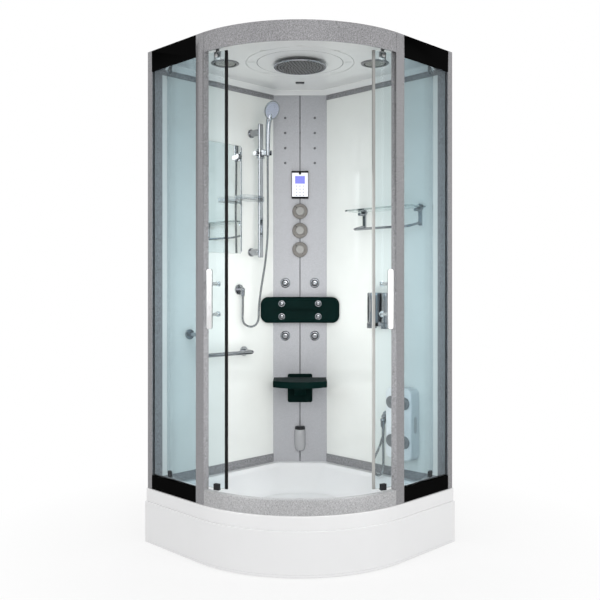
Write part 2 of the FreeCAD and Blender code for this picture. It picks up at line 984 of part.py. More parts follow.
def door_handle():
    """Flat upright bar on two standoffs, with round caps inside the glass."""
    grip = door_closed_deg + handle_deg
    out = door_radius + glass / 2
    inside = door_radius - glass / 2 - face_gap
    direction = radial(grip)
    sideways = Vector(-direction.y, direction.x, 0)
    z0 = handle_z - handle_length / 2
    z1 = handle_z + handle_length / 2
    corners = []
    for s, z in ((-1, z0), (1, z0), (1, z1), (-1, z1)):
        base = arc_point(out + handle_clear, grip, z)
        corners.append(base + sideways * (s * handle_width / 2))
    bar = rounded_plate(corners, handle_corner, direction * handle_thickness)
    parts = [bar]
    for z in (handle_z - handle_pitch / 2, handle_z + handle_pitch / 2):
        start = arc_point(inside, grip, z)
        cap_end = arc_point(inside - cap_thickness, grip, z)
        face = arc_point(out, grip, z)
        parts.append(rod(standoff_screw, start, face))
        parts.append(rod(standoff_diameter, face, arc_point(out + handle_clear, grip, z)))
        parts.append(rod(cap_diameter, cap_end, start))
    return door_path.opened(joined(parts))


def door_fittings():
    """Two hangers with their axles at the top of the right door and two guides at its foot."""
    pieces = []
    r_in = door_radius - glass / 2
    r_out = door_radius + glass / 2
    r_back = r_in - hanger_thickness
    for angle in roller_angles():
        spread = math.degrees(hanger_width / 2 / door_radius)
        slim = math.degrees(hanger_neck / 2 / door_radius)
        low = door_top - hanger_width
        high = wheel_z + wheel_diameter / 2
        clamp = arc_band(r_back, r_in, angle - spread, angle + spread, low, door_top)
        neck = arc_band(r_back, r_in, angle - slim, angle + slim, low, high)
        root = arc_point(r_in - 1, angle, wheel_z)
        axle = rod(axle_diameter, root, arc_point(wheel_in + wheel_width, angle, wheel_z))
        hub = rod(axle_diameter + 2 * hub_wall, root, arc_point(wheel_in - fit, angle, wheel_z))
        bolt_z = door_top - hanger_width / 2
        head_start = arc_point(r_out + face_gap, angle, bolt_z)
        bolt = rod(bolt_diameter, arc_point(r_in - 1, angle, bolt_z), head_start)
        head = rod(bolt_head, head_start, head_start + radial(angle) * bolt_head_height)
        pieces.append(joined([clamp, neck, axle, hub, bolt, head]))
        width = math.degrees(guide_width / 2 / door_radius)
        foot = door_bottom - guide_height / 2
        top = door_bottom + guide_height
        block = arc_band(r_in - guide_wall, r_out + guide_wall, angle - width, angle + width, foot, top)
        slot = arc_band(r_in, r_out, angle - width - 1, angle + width + 1, door_bottom, top + 1)
        pieces.append(block.cut(slot))
    return group(door_path.opened(piece) for piece in pieces)


def roller(angle):
    """Wheel of the right door on its axle."""
    start = arc_point(wheel_in, angle, wheel_z)
    end = arc_point(wheel_in + wheel_width, angle, wheel_z)
    tyre = rod(wheel_diameter, start, end)
    bore = rod(axle_diameter + 2 * fit, start - radial(angle), end + radial(angle))
    return door_path.opened(tyre.cut(bore))


def back_panel():
    """Panel on the left wall, from behind the column to the end stile."""
    a1 = side - frame_inset - frame_depth - stile_width
    return corner_box(
        panel_start,
        a1 + back_rail_depth / 2,
        panel_back,
        panel_face,
        tray_height + back_rail_height / 2,
        ceiling_z - back_rail_height / 2,
    )


def back_frame():
    """Bottom rail, top rail and end stile round the left panel."""
    a1 = side - frame_inset - frame_depth
    stile = corner_box(a1 - stile_width, a1, 0, back_rail_depth, tray_height, ceiling_z)
    low = corner_box(
        panel_start, a1, 0, back_rail_depth, tray_height, tray_height + back_rail_height
    )
    high = corner_box(
        panel_start, a1, 0, back_rail_depth, ceiling_z - back_rail_height, ceiling_z
    )
    column_edge = column_face * math.sqrt(2) - panel_face
    behind_column = corner_box(
        panel_start - 1, column_edge, panel_face, back_rail_depth + 1, 0, total_height
    )
    return joined([stile, low, high]).cut(back_panel()).cut(behind_column)


def column_panel():
    """Upright sheet across the corner, drilled for what it carries."""
    plan = (
        (-column_half, column_face),
        (column_half, column_face),
        (column_half - column_sheet, column_rear),
        (column_sheet - column_half, column_rear),
    )
    points = [diagonal_point(u, d, tray_height) for u, d in plan]
    wire = Part.makePolygon(points + points[:1])
    panel = Part.Face(wire).extrude(Vector(0, 0, ceiling_z - tray_height))
    cuts = []
    for z in knob_heights:
        cuts.append(diagonal_hole(0, z, spindle_diameter + 2 * spindle_room))
    for z in jet_heights:
        for u in (-jet_u, jet_u):
            cuts.append(diagonal_hole(u, z, jet_stem + 2 * face_gap))
    cuts.append(diagonal_hole(0, steam_pipe_z, steam_pipe + 2 * face_gap))
    cuts.append(
        diagonal_box(
            -groove_width / 2,
            groove_width / 2,
            column_face - column_sheet / 2,
            column_face + 1,
            tray_height - 1,
            ceiling_z + 1,
        )
    )
    return panel.cut(cuts)


def diagonal_hole(u, z, diameter):
    """Round cutter through the column's sheet."""
    start = diagonal_point(u, column_rear - 2, z)
    return rod(diameter, start, start + out_of_corner * (column_sheet + 4))


def ceiling():
    """Moulded ceiling with a turned-up cove, a resting flange and ring grooves."""
    top = total_height - sheet
    plate = quadrant(ceiling_inset, ceiling_z, ceiling_z + ceiling_sheet)
    cove = front_band(ceiling_inset, ceiling_inset + ceiling_sheet, ceiling_z, top)
    lip = frame_inset + frame_depth + 2 * face_gap
    flange = front_band(lip, ceiling_inset + ceiling_sheet, top - ceiling_flange, top, post_width + 1)
    shell = joined([plate, cove, flange])
    centre = half - shower_p
    cuts = []
    for radius in ring_radii:
        base = Vector(centre, centre, ceiling_z - 1)
        outer = Part.makeCylinder(radius + ring_groove / 2, groove_depth + 1, base)
        inner = Part.makeCylinder(radius - ring_groove / 2, groove_depth + 1, base)
        cuts.append(outer.cut(inner))
    return shell.cut(cuts)


def overhead_shower():
    """Round spray plate with its stem through the ceiling."""
    centre = half - shower_p
    top = ceiling_z - overhead_drop
    low = Vector(centre, centre, top - overhead_thickness)
    plate = rod(overhead_diameter, low, Vector(centre, centre, top))
    edge = [e for e in plate.Edges if e.BoundBox.DiagonalLength > overhead_diameter]
    plate = plate.makeFillet(overhead_thickness / 4, edge[:1])
    stem = rod(overhead_stem, Vector(centre, centre, top), Vector(centre, centre, ceiling_z))
    return joined([plate, stem])


def ceiling_grilles():
    """Two round speaker grilles and the small air grille."""
    pieces = []
    for u in (-speaker_u, speaker_u):
        place = diagonal_point(u, shower_p * math.sqrt(2), ceiling_z)
        rim = rod(speaker_diameter, place - up * speaker_height, place)
        recess_top = place - up * (speaker_height - speaker_recess)
        recess = rod(speaker_diameter - 2 * speaker_rim, recess_top - up * speaker_height, recess_top)
        pieces.append(rim.cut(recess))
    near = fan_d - fan_depth / 2
    low = ceiling_z - fan_height
    fan = diagonal_box(-fan_width / 2, fan_width / 2, near, near + fan_depth, low, ceiling_z)
    pieces.append(fan)
    return group(pieces)


def controller_case():
    """Case of the touch controller, with a recess for its face."""
    z0 = controller_z - controller_height / 2
    z1 = controller_z + controller_height / 2
    front = column_face + controller_depth
    case = diagonal_plate(controller_width / 2, z0, z1, column_face, front, controller_corner)
    recess = controller_recess(0)
    return case.cut(recess)


def controller_recess(gap):
    """Space that the controller's face fills, less a gap all round."""
    z0 = controller_z - screen_height / 2 + gap
    z1 = controller_z + screen_height / 2 - gap
    front = column_face + controller_depth
    return diagonal_plate(screen_width / 2 - gap, z0, z1, front - screen_sheet, front, screen_corner)


def controller_screen():
    """Touch face of the controller."""
    return controller_recess(screen_gap)


def knob(z):
    """Round knob on its spindle, with a raised middle and a pointer nick."""
    base = diagonal_point(0, column_face + knob_stand, z)
    body = rod(knob_diameter, base, base + out_of_corner * knob_ring_depth)
    rim = [e for e in body.Edges if e.BoundBox.DiagonalLength > knob_diameter]
    body = body.makeFillet(knob_edge, rim[:2])
    middle = rod(knob_middle, base, base + out_of_corner * knob_depth)
    bore_end = base + out_of_corner * (spindle_grip + 1)
    bore = rod(spindle_diameter + 2 * fit, base - out_of_corner, bore_end)
    return joined([body, middle]).cut(bore)


def valve_body():
    """Brass valve block behind the column with three spindles, and two threaded inlets at its rear."""
    low = min(knob_heights) - valve_margin
    high = max(knob_heights) + valve_margin
    rear = column_rear - valve_behind - valve_depth
    block = diagonal_box(-valve_width / 2, valve_width / 2, rear, rear + valve_depth, low, high)
    pieces = [block]
    for z in knob_heights:
        start = diagonal_point(0, rear + valve_depth / 2, z)
        pieces.append(rod(valve_nose, start, diagonal_point(0, column_rear, z)))
        tip = column_face + knob_stand + spindle_grip
        pieces.append(rod(spindle_diameter, start, diagonal_point(0, tip, z)))
    inlet_z = low + inlet_rise
    for u in (-inlet_spread / 2, inlet_spread / 2):
        root = diagonal_point(u, rear + 1, inlet_z)
        pieces.append(rod(inlet_diameter, root, diagonal_point(u, rear - inlet_length, inlet_z)))
    body = joined(pieces)
    for u in (-inlet_spread / 2, inlet_spread / 2):
        mouth = diagonal_point(u, rear - inlet_length - 1, inlet_z)
        body = body.cut(rod(inlet_bore, mouth, diagonal_point(u, rear + inlet_depth, inlet_z)))
    return body


def jet(u, z, face, diameter, height, stem):
    """Chrome jet: a domed flange, a nozzle and a stem into what carries it."""
    base = diagonal_point(u, face, z)
    flange = Part.makeCone(diameter / 2, diameter / 2 - height / 2, height / 2, base, out_of_corner)
    nozzle = rod(diameter * jet_nozzle, base, base + out_of_corner * height)
    pieces = [flange, nozzle]
    if stem > 0:
        pieces.append(rod(jet_stem, base - out_of_corner * stem, base))
    body = joined(pieces)
    floor = base + out_of_corner * (height - jet_mouth_depth)
    mouth = rod(diameter * jet_mouth, floor, floor + out_of_corner * (jet_mouth_depth + 1))
    return body.cut(mouth)


def column_jets():
    """Four large jets on the column and four small ones on the backrest."""
    pieces = [
        jet(u, z, column_face, jet_diameter, jet_height, jet_stem_length)
        for u in (-jet_u, jet_u)
        for z in jet_heights
    ]
    face = pad_face(pad_jet_u) + pad_jet_room
    pieces += [
        jet(u, z, face, pad_jet_diameter, pad_jet_height, 0)
        for u in (-pad_jet_u, pad_jet_u)
        for z in pad_jet_heights
    ]
    return group(pieces)


def pad_radius():
    """Radius of the backrest's hollow front, through its middle and its ends."""
    rise = pad_front_end - pad_front_middle
    return (pad_width**2 / 4 + rise**2) / (2 * rise)


def pad_face(u):
    """Distance of the backrest's front from the corner."""
    radius = pad_radius()
    return pad_front_middle + radius - math.sqrt(radius**2 - u**2)


def backrest_pad():
    """Moulded backrest across the column and onto both walls."""
    back = column_face + face_gap
    reach = pad_width / 2
    wall = panel_face * math.sqrt(2) + face_gap * 2
    beyond = reach + pad_trim
    z0 = pad_z - pad_trim
    plan = [
        diagonal_point(-beyond, pad_face(beyond), z0),
        diagonal_point(-beyond, beyond + wall, z0),
        diagonal_point(wall - back, back, z0),
        diagonal_point(back - wall, back, z0),
        diagonal_point(beyond, beyond + wall, z0),
        diagonal_point(beyond, pad_face(beyond), z0),
    ]
    edges = [Part.LineSegment(a, b).toShape() for a, b in zip(plan, plan[1:])]
    bend = diagonal_point(0, pad_front_middle, z0)
    edges.append(Part.Arc(plan[-1], bend, plan[0]).toShape())
    block = Part.Face(Part.Wire(edges)).extrude(Vector(0, 0, pad_height + 2 * pad_trim))
    near = back - pad_trim
    far = pad_front_end + pad_trim
    outline = diagonal_plate(reach, pad_z, pad_z + pad_height, near, far, pad_corner)
    pad = block.common(outline)
    seat_d = pad_face(pad_jet_u) + pad_jet_room
    seats = [
        rod(
            pad_jet_diameter + 2 * pad_jet_room,
            diagonal_point(u, seat_d, z),
            diagonal_point(u, far, z),
        )
        for u in (-pad_jet_u, pad_jet_u)
        for z in pad_jet_heights
    ]
    return pad.cut(seats)


def seat_bracket():
    """Wall plate, cheeks, console and hinge pin of the folding seat."""
    reach = bracket_width / 2
    front_d = column_face + bracket_plate
    top = seat_top_z + bracket_rise
    plate = diagonal_plate(reach, bracket_bottom, top, column_face, front_d, bracket_corner)
    pieces = [plate]
    start_d = front_d - 1
    low = hinge_z - hinge_ear / 2
    for u0 in (-reach + cheek_inset, reach - cheek - cheek_inset):
        pieces.append(diagonal_box(u0, u0 + cheek, start_d, hinge_d, low, low + hinge_ear))
        eye = diagonal_point(u0, hinge_d, hinge_z)
        pieces.append(rod(hinge_ear, eye, eye + across * cheek))
    under = seat_top_z - seat_thickness - face_gap
    profile = [
        diagonal_point(-console_rib, start_d, under - console_drop),
        diagonal_point(-console_rib, start_d, hinge_z - hinge_ear),
        diagonal_point(-console_rib, seat_back_d - console_gap, hinge_z - hinge_ear),
        diagonal_point(-console_rib, seat_back_d - console_gap, under),
        diagonal_point(-console_rib, column_face + console_depth, under),
        diagonal_point(-console_rib, column_face + console_depth, under - console_lip),
    ]
    console = Part.Face(Part.makePolygon(profile + profile[:1])).extrude(across * (2 * console_rib))
    pieces.append(console)
    bracket = joined(pieces)
    pin = rod(
        hinge_pin,
        diagonal_point(-reach + pin_inset, hinge_d, hinge_z),
        diagonal_point(reach - pin_inset, hinge_d, hinge_z),
    )
    return bracket.fuse(pin).removeSplitter()


def seat_plate():
    """Folding seat with two hinge arms between the bracket's cheeks."""
    z0 = seat_top_z - seat_thickness
    reach = seat_width / 2
    front = seat_back_d + seat_depth
    side_d = front - seat_bow
    points = [
        diagonal_point(-reach, seat_back_d, z0),
        diagonal_point(reach, seat_back_d, z0),
        diagonal_point(reach, side_d, z0),
    ]
    edges = [Part.LineSegment(a, b).toShape() for a, b in zip(points, points[1:])]
    last = diagonal_point(-reach, side_d, z0)
    edges.append(Part.Arc(points[2], diagonal_point(0, front, z0), last).toShape())
    edges.append(Part.LineSegment(last, points[0]).toShape())
    plate = Part.Face(Part.Wire(edges)).extrude(Vector(0, 0, seat_thickness))
    pieces = [plate]
    outer = bracket_width / 2 - cheek - cheek_inset - arm_gap
    low = hinge_z - arm_height / 2
    for u0 in (-outer, outer - arm_width):
        u1 = u0 + arm_width
        pieces.append(diagonal_box(u0, u1, hinge_d, seat_back_d + 1, low, low + arm_height))
        eye = diagonal_point(u0, hinge_d, hinge_z)
        pieces.append(rod(hinge_ear, eye, eye + across * arm_width))
    seat = joined(pieces)
    bore = rod(
        hinge_pin + 2 * fit,
        diagonal_point(-reach, hinge_d, hinge_z),
        diagonal_point(reach, hinge_d, hinge_z),
    )
    return seat.cut(bore)


def steam_outlet():
    """Hood over the steam pipe, open underneath, with a cap on top."""
    reach = hood_width / 2
    shell = diagonal_plate(reach, hood_bottom, hood_top, column_face, column_face + hood_depth, hood_corner)
    inside = diagonal_plate(
        reach - hood_wall,
        hood_bottom + hood_wall,
        hood_top - hood_wall - hood_cap,
        column_face,
        column_face + hood_depth - hood_wall,
        hood_corner - hood_wall,
    )
    near = column_face + mouth_near
    far = column_face + hood_depth - mouth_far
    high = hood_bottom + mouth_depth
    mouth = diagonal_box(-reach / 2, reach / 2, near, far, hood_bottom - 1, high)
    return shell.cut(inside).cut(mouth)


def steam_generator():
    """Boiler behind the column with its bracket and its pipe to the hood."""
    low = diagonal_point(0, boiler_d, boiler_z)
    tank = rod(boiler_diameter, low, low + up * boiler_height)
    rims = [e for e in tank.Edges if e.Closed]
    tank = tank.makeFillet(boiler_edge, rims)
    arm_u = boiler_arm_width / 2
    arm_z = boiler_z + boiler_height / 2 - boiler_arm_height / 2
    core_d = boiler_d + boiler_core
    arm = diagonal_box(-arm_u, arm_u, core_d, column_rear, arm_z, arm_z + boiler_arm_height)
    spout_d = column_face + steam_pipe_out
    spout = rod(
        steam_pipe,
        diagonal_point(0, core_d, steam_pipe_z),
        diagonal_point(0, spout_d, steam_pipe_z),
    )
    way = rod(
        steam_pipe - 2 * steam_pipe_wall,
        diagonal_point(0, boiler_d + boiler_diameter / 2 + 2, steam_pipe_z),
        diagonal_point(0, spout_d + 1, steam_pipe_z),
    )
    return joined([tank, arm, spout]).cut(way)


def control_box():
    """Electronics box behind the controller."""
    z0 = controller_z - control_height / 2
    z1 = controller_z + control_height / 2
    front = column_rear - control_gap
    rear = front - control_depth
    box = diagonal_plate(control_width / 2, z0, z1, rear, front, control_corner)
    feet = [
        rod(standoff_pad, diagonal_point(u, front - 1, z), diagonal_point(u, column_rear, z))
        for u in (-standoff_pad_u, standoff_pad_u)
        for z in (z0 + standoff_pad_in, z1 - standoff_pad_in)
    ]
    return joined([box] + feet)


def mirror():
    """Flat mirror on the left wall."""
    front = panel_face + mirror_thickness
    return left_plate(*mirror_a, *mirror_z, panel_face, front, mirror_corner)


def bar_section(width, thickness, z0, z1):
    """Flat oval upright bar at the slide bar's place."""
    flat_half = (width - thickness) / 2
    core = corner_box(
        bar_a - flat_half, bar_a + flat_half, bar_b - thickness / 2, bar_b + thickness / 2, z0, z1
    )
    ends = []
    for s in (-1, 1):
        foot = left_point(bar_a + s * flat_half, bar_b, z0)
        ends.append(rod(thickness, foot, foot + up * (z1 - z0)))
    return joined([core] + ends)


def slide_bar():
    """Oval bar on two round wall brackets."""
    pieces = [bar_section(bar_width, bar_thickness, bar_z[0], bar_z[1])]
    for z in bar_bracket_z:
        wall = left_point(bar_a, panel_face, z)
        pieces.append(rod(bar_bracket_diameter, wall, left_point(bar_a, bar_b - bar_bracket_sink, z)))
        pieces.append(rod(bar_bracket_flange, wall, wall - Vector(0, bar_flange_thickness, 0)))
    return joined(pieces)


def slider():
    """Clamp on the bar with its knob and the forked holder of the handset."""
    z0 = slider_z - slider_height / 2
    z1 = slider_z + slider_height / 2
    gap = face_gap
    outer = bar_section(bar_width + 2 * slider_wall, bar_thickness + 2 * slider_wall, z0, z1)
    bore = bar_section(bar_width + 2 * gap, bar_thickness + 2 * gap, z0 - 1, z1 + 1)
    side_a = bar_a + bar_width / 2 + slider_wall
    screw = rod(
        slider_knob,
        left_point(side_a - slider_knob_sink, bar_b, slider_z),
        left_point(side_a + slider_knob_out, bar_b, slider_z),
    )
    arm_start = bar_b + bar_thickness / 2 + fork_arm_off
    arm_end = holder_b - handset_grip
    low = slider_z - fork_height / 2
    high = slider_z + fork_height / 2
    arm = corner_box(bar_a - fork_arm / 2, bar_a + fork_arm / 2, arm_start, arm_end, low, high)
    fork = handset_grip / 2 + holder_gap
    back = holder_b - handset_grip - holder_gap
    cheeks = []
    for a0 in (bar_a - fork - holder_cheek, bar_a + fork):
        a1 = a0 + holder_cheek
        cheeks.append(corner_box(a0, a1, back, holder_b + cheek_reach, low, high))
    reach = fork + holder_cheek
    bridge = corner_box(bar_a - reach, bar_a + reach, back, back + fork_bridge, low, high)
    return joined([outer.cut(bore), screw, arm, bridge] + cheeks)


def handset():
    """Hand shower: a grip with trunnions in the holder and a round head that leans forward."""
    pivot = left_point(bar_a, holder_b, slider_z)
    low = pivot - up * nose_drop
    forward = Vector(0, -1, 0)
    centre = pivot + up * handset_reach + forward * handset_offset
    neck = pivot + up * (handset_reach - handset_head * neck_share)
    grip = Part.makeCone(handset_nose / 2, handset_grip / 2, (neck - low).Length, low, up)
    knuckle = Part.makeSphere(handset_grip / 2, neck)
    throat = rod(handset_grip, neck, centre - up * handset_head * throat_share)
    fork = handset_grip / 2 + holder_gap - fit
    pins = rod(
        trunnion,
        left_point(bar_a - fork, holder_b, slider_z),
        left_point(bar_a + fork, holder_b, slider_z),
    )
    lean = math.radians(handset_lean_deg)
    facing = forward * math.cos(lean) - up * math.sin(lean)
    back = centre - facing * handset_head_thickness / 2
    head = rod(handset_head, back, back + facing * handset_head_thickness)
    rim = [e for e in head.Edges if e.BoundBox.DiagonalLength > handset_head * 0.8 and e.Closed]
    head = head.makeFillet(handset_head_thickness / 4, rim)
    return joined([grip, knuckle, throat, pins, head])


def soap_dish():
    """Open dish with a ring round the bar."""
    z0 = dish_z - dish_height / 2
    z1 = dish_z + dish_height / 2
    low = dish_z - dish_ring_height / 2
    high = dish_z + dish_ring_height / 2
    wide = 2 * dish_ring_wall
    ring = bar_section(bar_width + wide, bar_thickness + wide, low, high)
    gap = 2 * face_gap
    bore = bar_section(bar_width + gap, bar_thickness + gap, low - 20, high + 20)
    a0 = bar_a + bar_width / 2 + dish_off_bar
    a1 = a0 + dish_length
    b0 = bar_b - dish_depth / 2
    b1 = bar_b + dish_depth / 2
    tray = plan_plate(a0, a1, b0, b1, z0, z1, dish_corner)
    hollow = plan_plate(
        a0 + dish_wall,
        a1 - dish_wall,
        b0 + dish_wall,
        b1 - dish_wall,
        z0 + dish_wall,
        z1 + 1,
        dish_corner - dish_wall,
    )
    return joined([tray, ring]).cut(hollow).cut(bore)


def plan_plate(a0, a1, b0, b1, z0, z1, radius):
    """Block on the left wall with rounded upright corners."""
    corners = [left_point(a, b, z0) for a, b in ((a0, b0), (a1, b0), (a1, b1), (a0, b1))]
    return rounded_plate(corners, radius, Vector(0, 0, z1 - z0))


def bent_rod(points, diameter, bend):
    """Round bar along a path whose corners are rounded."""
    edges = []
    start = points[0]
    for before, corner, after in zip(points, points[1:], points[2:]):
        back = (before - corner).normalize()
        ahead = (after - corner).normalize()
        turn = back.getAngle(ahead) / 2
        reach = bend / math.tan(turn)
        into = corner + back * reach
        out = corner + ahead * reach
        middle = corner + (back + ahead).normalize() * (bend / math.sin(turn) - bend)
        edges.append(Part.LineSegment(start, into).toShape())
        edges.append(Part.Arc(into, middle, out).toShape())
        start = out
    edges.append(Part.LineSegment(start, points[-1]).toShape())
    ring = Part.Wire(Part.makeCircle(diameter / 2, points[0], points[1] - points[0]))
    return Part.Wire(edges).makePipeShell([ring], True, False)


def grab_bar():
    """Bent bar on two wall flanges."""
    first = left_point(grab_a[0], panel_face + 1, grab_z)
    last = left_point(grab_end[0], panel_face + 1, grab_end[1])
    points = [
        first,
        left_point(grab_a[0], grab_b, grab_z),
        left_point(grab_a[1], grab_b, grab_z),
        left_point(grab_end[0], grab_b, grab_end[1]),
        last,
    ]
    bar = bent_rod(points, grab_diameter, grab_bend)
    off_wall = Vector(0, -flange_thickness, 0)
    flanges = []
    for a, z in ((grab_a[0], grab_z), grab_end):
        wall = left_point(a, panel_face, z)
        flanges.append(rod(grab_flange, wall, wall + off_wall))
    return joined([bar] + flanges)


def glass_shelf():
    """Glass shelf on the right wall."""
    b0 = panel_face + shelf_off_wall
    b1 = b0 + shelf_depth
    plan = ((shelf_a[0], b0), (shelf_a[1], b0), (shelf_a[1], b1), (shelf_a[0], b1))
    corners = [right_point(a, b, shelf_z) for a, b in plan]
    radii = [shelf_back_corner, shelf_back_corner, shelf_corner, shelf_corner]
    return Part.Face(rounded_outline(corners, radii)).extrude(Vector(0, 0, shelf_thickness))


def towel_rail():
    """Two shelf brackets and the rail that hangs from them."""
    pieces = []
    for a in shelf_bracket_a:
        foot = right_point(a, panel_face, shelf_z + shelf_thickness / 2)
        boss = rod(boss_diameter, foot, foot - Vector(boss_depth, 0, 0))
        low = right_point(a, panel_face, shelf_z - shelf_arm_drop)
        arm = rod(shelf_arm, low, low - Vector(shelf_arm_length, 0, 0))
        pieces.append(boss.cut(glass_shelf()))
        pieces.append(arm)
    low_z = shelf_z - rail_drop
    points = [
        right_point(shelf_bracket_a[0], panel_face + rail_sink, low_z + rail_rise),
        right_point(shelf_bracket_a[0], panel_face + rail_out, low_z),
        right_point(shelf_bracket_a[1], panel_face + rail_out, low_z),
        right_point(shelf_bracket_a[1], panel_face + rail_sink, low_z + rail_rise),
    ]
    pieces.append(bent_rod(points, rail_rod, rail_bend))
    for a in shelf_bracket_a:
        q0 = a - spine_width / 2
        front = panel_face + spine_depth
        low = low_z + spine_rise
        pieces.append(corner_box(panel_face, front, q0, q0 + spine_width, low, shelf_z + spine_top))
    return joined(pieces).cut(glass_shelf())


def dispenser():
    """Twin soap dispenser on the right wall, open underneath for its levers."""
    corners = []
    plan = (
        (dispenser_a[0], dispenser_z[0]),
        (dispenser_a[1], dispenser_z[0]),
        (dispenser_a[1], dispenser_z[1]),
        (dispenser_a[0], dispenser_z[1]),
    )
    for a, z in plan:
        corners.append(right_point(a, panel_face, z))
    body = rounded_plate(corners, dispenser_corner, Vector(-dispenser_depth, 0, 0))
    b1 = panel_face + dispenser_depth
    seat_back = b1 + lever_overhang - lever_depth - lever_travel - face_gap
    seat_top = dispenser_z[0] + lever_height + face_gap
    reach = lever_width / 2 + face_gap
    cuts = []
    for a in lever_places():
        cuts.append(corner_box(seat_back, b1 + 1, a - reach, a + reach, dispenser_z[0] - 1, seat_top))
    quarter = (dispenser_a[1] - dispenser_a[0]) / 4
    for a in lever_places():
        low = a - quarter + dispenser_wall
        high = a + quarter - dispenser_wall
        floor = seat_top + dispenser_wall
        roof = dispenser_z[1] - dispenser_wall
        cuts.append(corner_box(panel_face - 1, b1 - dispenser_wall, low, high, floor, roof))
    return body.cut(cuts)


def lever_places():
    """Middles of the two levers along the right wall."""
    quarter = (dispenser_a[1] - dispenser_a[0]) / 4
    return (dispenser_a[0] + quarter, dispenser_a[1] - quarter)


def lever(a):
    """Push lever in the dispenser's underside."""
    b1 = panel_face + dispenser_depth + lever_overhang
    b0 = b1 - lever_depth
    z0 = dispenser_z[0] - lever_drop
    z1 = dispenser_z[0] + lever_height
    body = corner_box(b0, b1, a - lever_width / 2, a + lever_width / 2, z0, z1)
    edges = [e for e in body.Edges if abs(e.Vertexes[0].Point.x - e.Vertexes[1].Point.x) < 1e-6]
    front = [e for e in edges if abs(e.Vertexes[0].Point.x - (half - b1)) < 1e-6]
    return body.makeFillet(lever_edge, front)


def foot_massager():
    """Rounded housing of the foot massage, on the right wall."""
    corners = []
    plan = (
        (massager_a[0], massager_z[0]),
        (massager_a[1], massager_z[0]),
        (massager_a[1], massager_z[1]),
        (massager_a[0], massager_z[1]),
    )
    for a, z in plan:
        corners.append(right_point(a, panel_face, z))
    body = rounded_plate(corners, massager_corner, Vector(-massager_depth, 0, 0))
    front_x = half - panel_face - massager_depth
    rim = [e for e in body.Edges if abs(e.BoundBox.XMax - front_x) < 1e-6]
    shell = body.makeFillet(massager_edge, rim)
    hollow = corner_box(
        panel_face - 1,
        panel_face + massager_depth - massager_wall,
        massager_a[0] + massager_edge,
        massager_a[1] - massager_edge,
        massager_z[0] + massager_edge,
        massager_z[1] - massager_edge,
    )
    return shell.cut(hollow)


def foot_discs():
    """Four massage discs on the housing."""
    face = panel_face + massager_depth
    pieces = []
    for a in disc_a:
        for z in disc_z:
            base = right_point(a, face, z)
            outward = Vector(-1, 0, 0)
            ring = rod(disc_diameter, base, base + outward * disc_height)
            well = base + outward * (disc_height - disc_well)
            floor = disc_diameter / 2 - disc_floor_rim
            mouth = disc_diameter / 2 - disc_mouth_rim
            dish = Part.makeCone(floor, mouth, disc_well + 1, well, outward)
            nub = rod(nub_diameter, base, base + outward * (disc_height + nub_rise))
            pieces.append(ring.cut(dish).fuse(nub).removeSplitter())
    return group(pieces)


def nut(place, route_end):
    """Nut that faces down over a hose's end."""
    small = hose_nut / 2 - nut_taper
    large = hose_nut / 2 + nut_taper
    return Part.makeCone(small, large, hose_nut_length + nut_overlap, place(*route_end), up)


def elbow(place, route_end):
    """Wall elbow: a flange, a short neck and a nut that faces down."""
    a, b, z = route_end
    top = z + hose_nut_length + elbow_rise
    centre = place(a, b, top)
    wall = place(a, panel_face, top)
    off_wall = (centre - wall).normalize()
    flange = rod(elbow_flange, wall, wall + off_wall * elbow_flange_thickness)
    neck = rod(elbow_pipe, wall, centre)
    ball = Part.makeSphere(elbow_pipe / 2, centre)
    return joined([flange, neck, ball, nut(place, route_end)])


def hose_outlets():
    """Wall elbows of both hoses and the side elbow of the foot massage."""
    shower = elbow(left_point, shower_outlet)
    foot = elbow(right_point, foot_outlet)
    a, b, z = foot_inlet
    top = z + hose_nut_length + elbow_rise
    centre = right_point(a, b - side_elbow_in, top)
    bend = Part.makeSphere(elbow_pipe / 2, right_point(a, b, top))
    neck = rod(hose_nut, right_point(a, b, top), centre)
    turn = Part.makeSphere(hose_nut / 2, centre)
    into = rod(hose_nut, centre, right_point(massager_a[0], b - side_elbow_in, top))
    side_elbow = joined([nut(right_point, foot_inlet), bend, neck, turn, into])
    return group([shower, foot, side_elbow])


def doors():
    """Both doors' pieces at their open places, by node name."""
    right = {
        "door_glass": door_glass(),
        "door_seal": door_seal(),
        "door_handle": door_handle(),
        "door_fittings": door_fittings(),
        "front_roller": roller(door_path.lead_deg),
        "rear_roller": roller(door_path.trail_deg),
    }
    nodes = {}
    for name, shape in right.items():
        nodes[name + "_right"] = shape
        nodes[name + "_left"] = mirrored(shape)
    return nodes


def both(*shapes):
    """Pieces and their mirror images in one node."""
    return group(list(shapes) + [mirrored(shape) for shape in shapes])


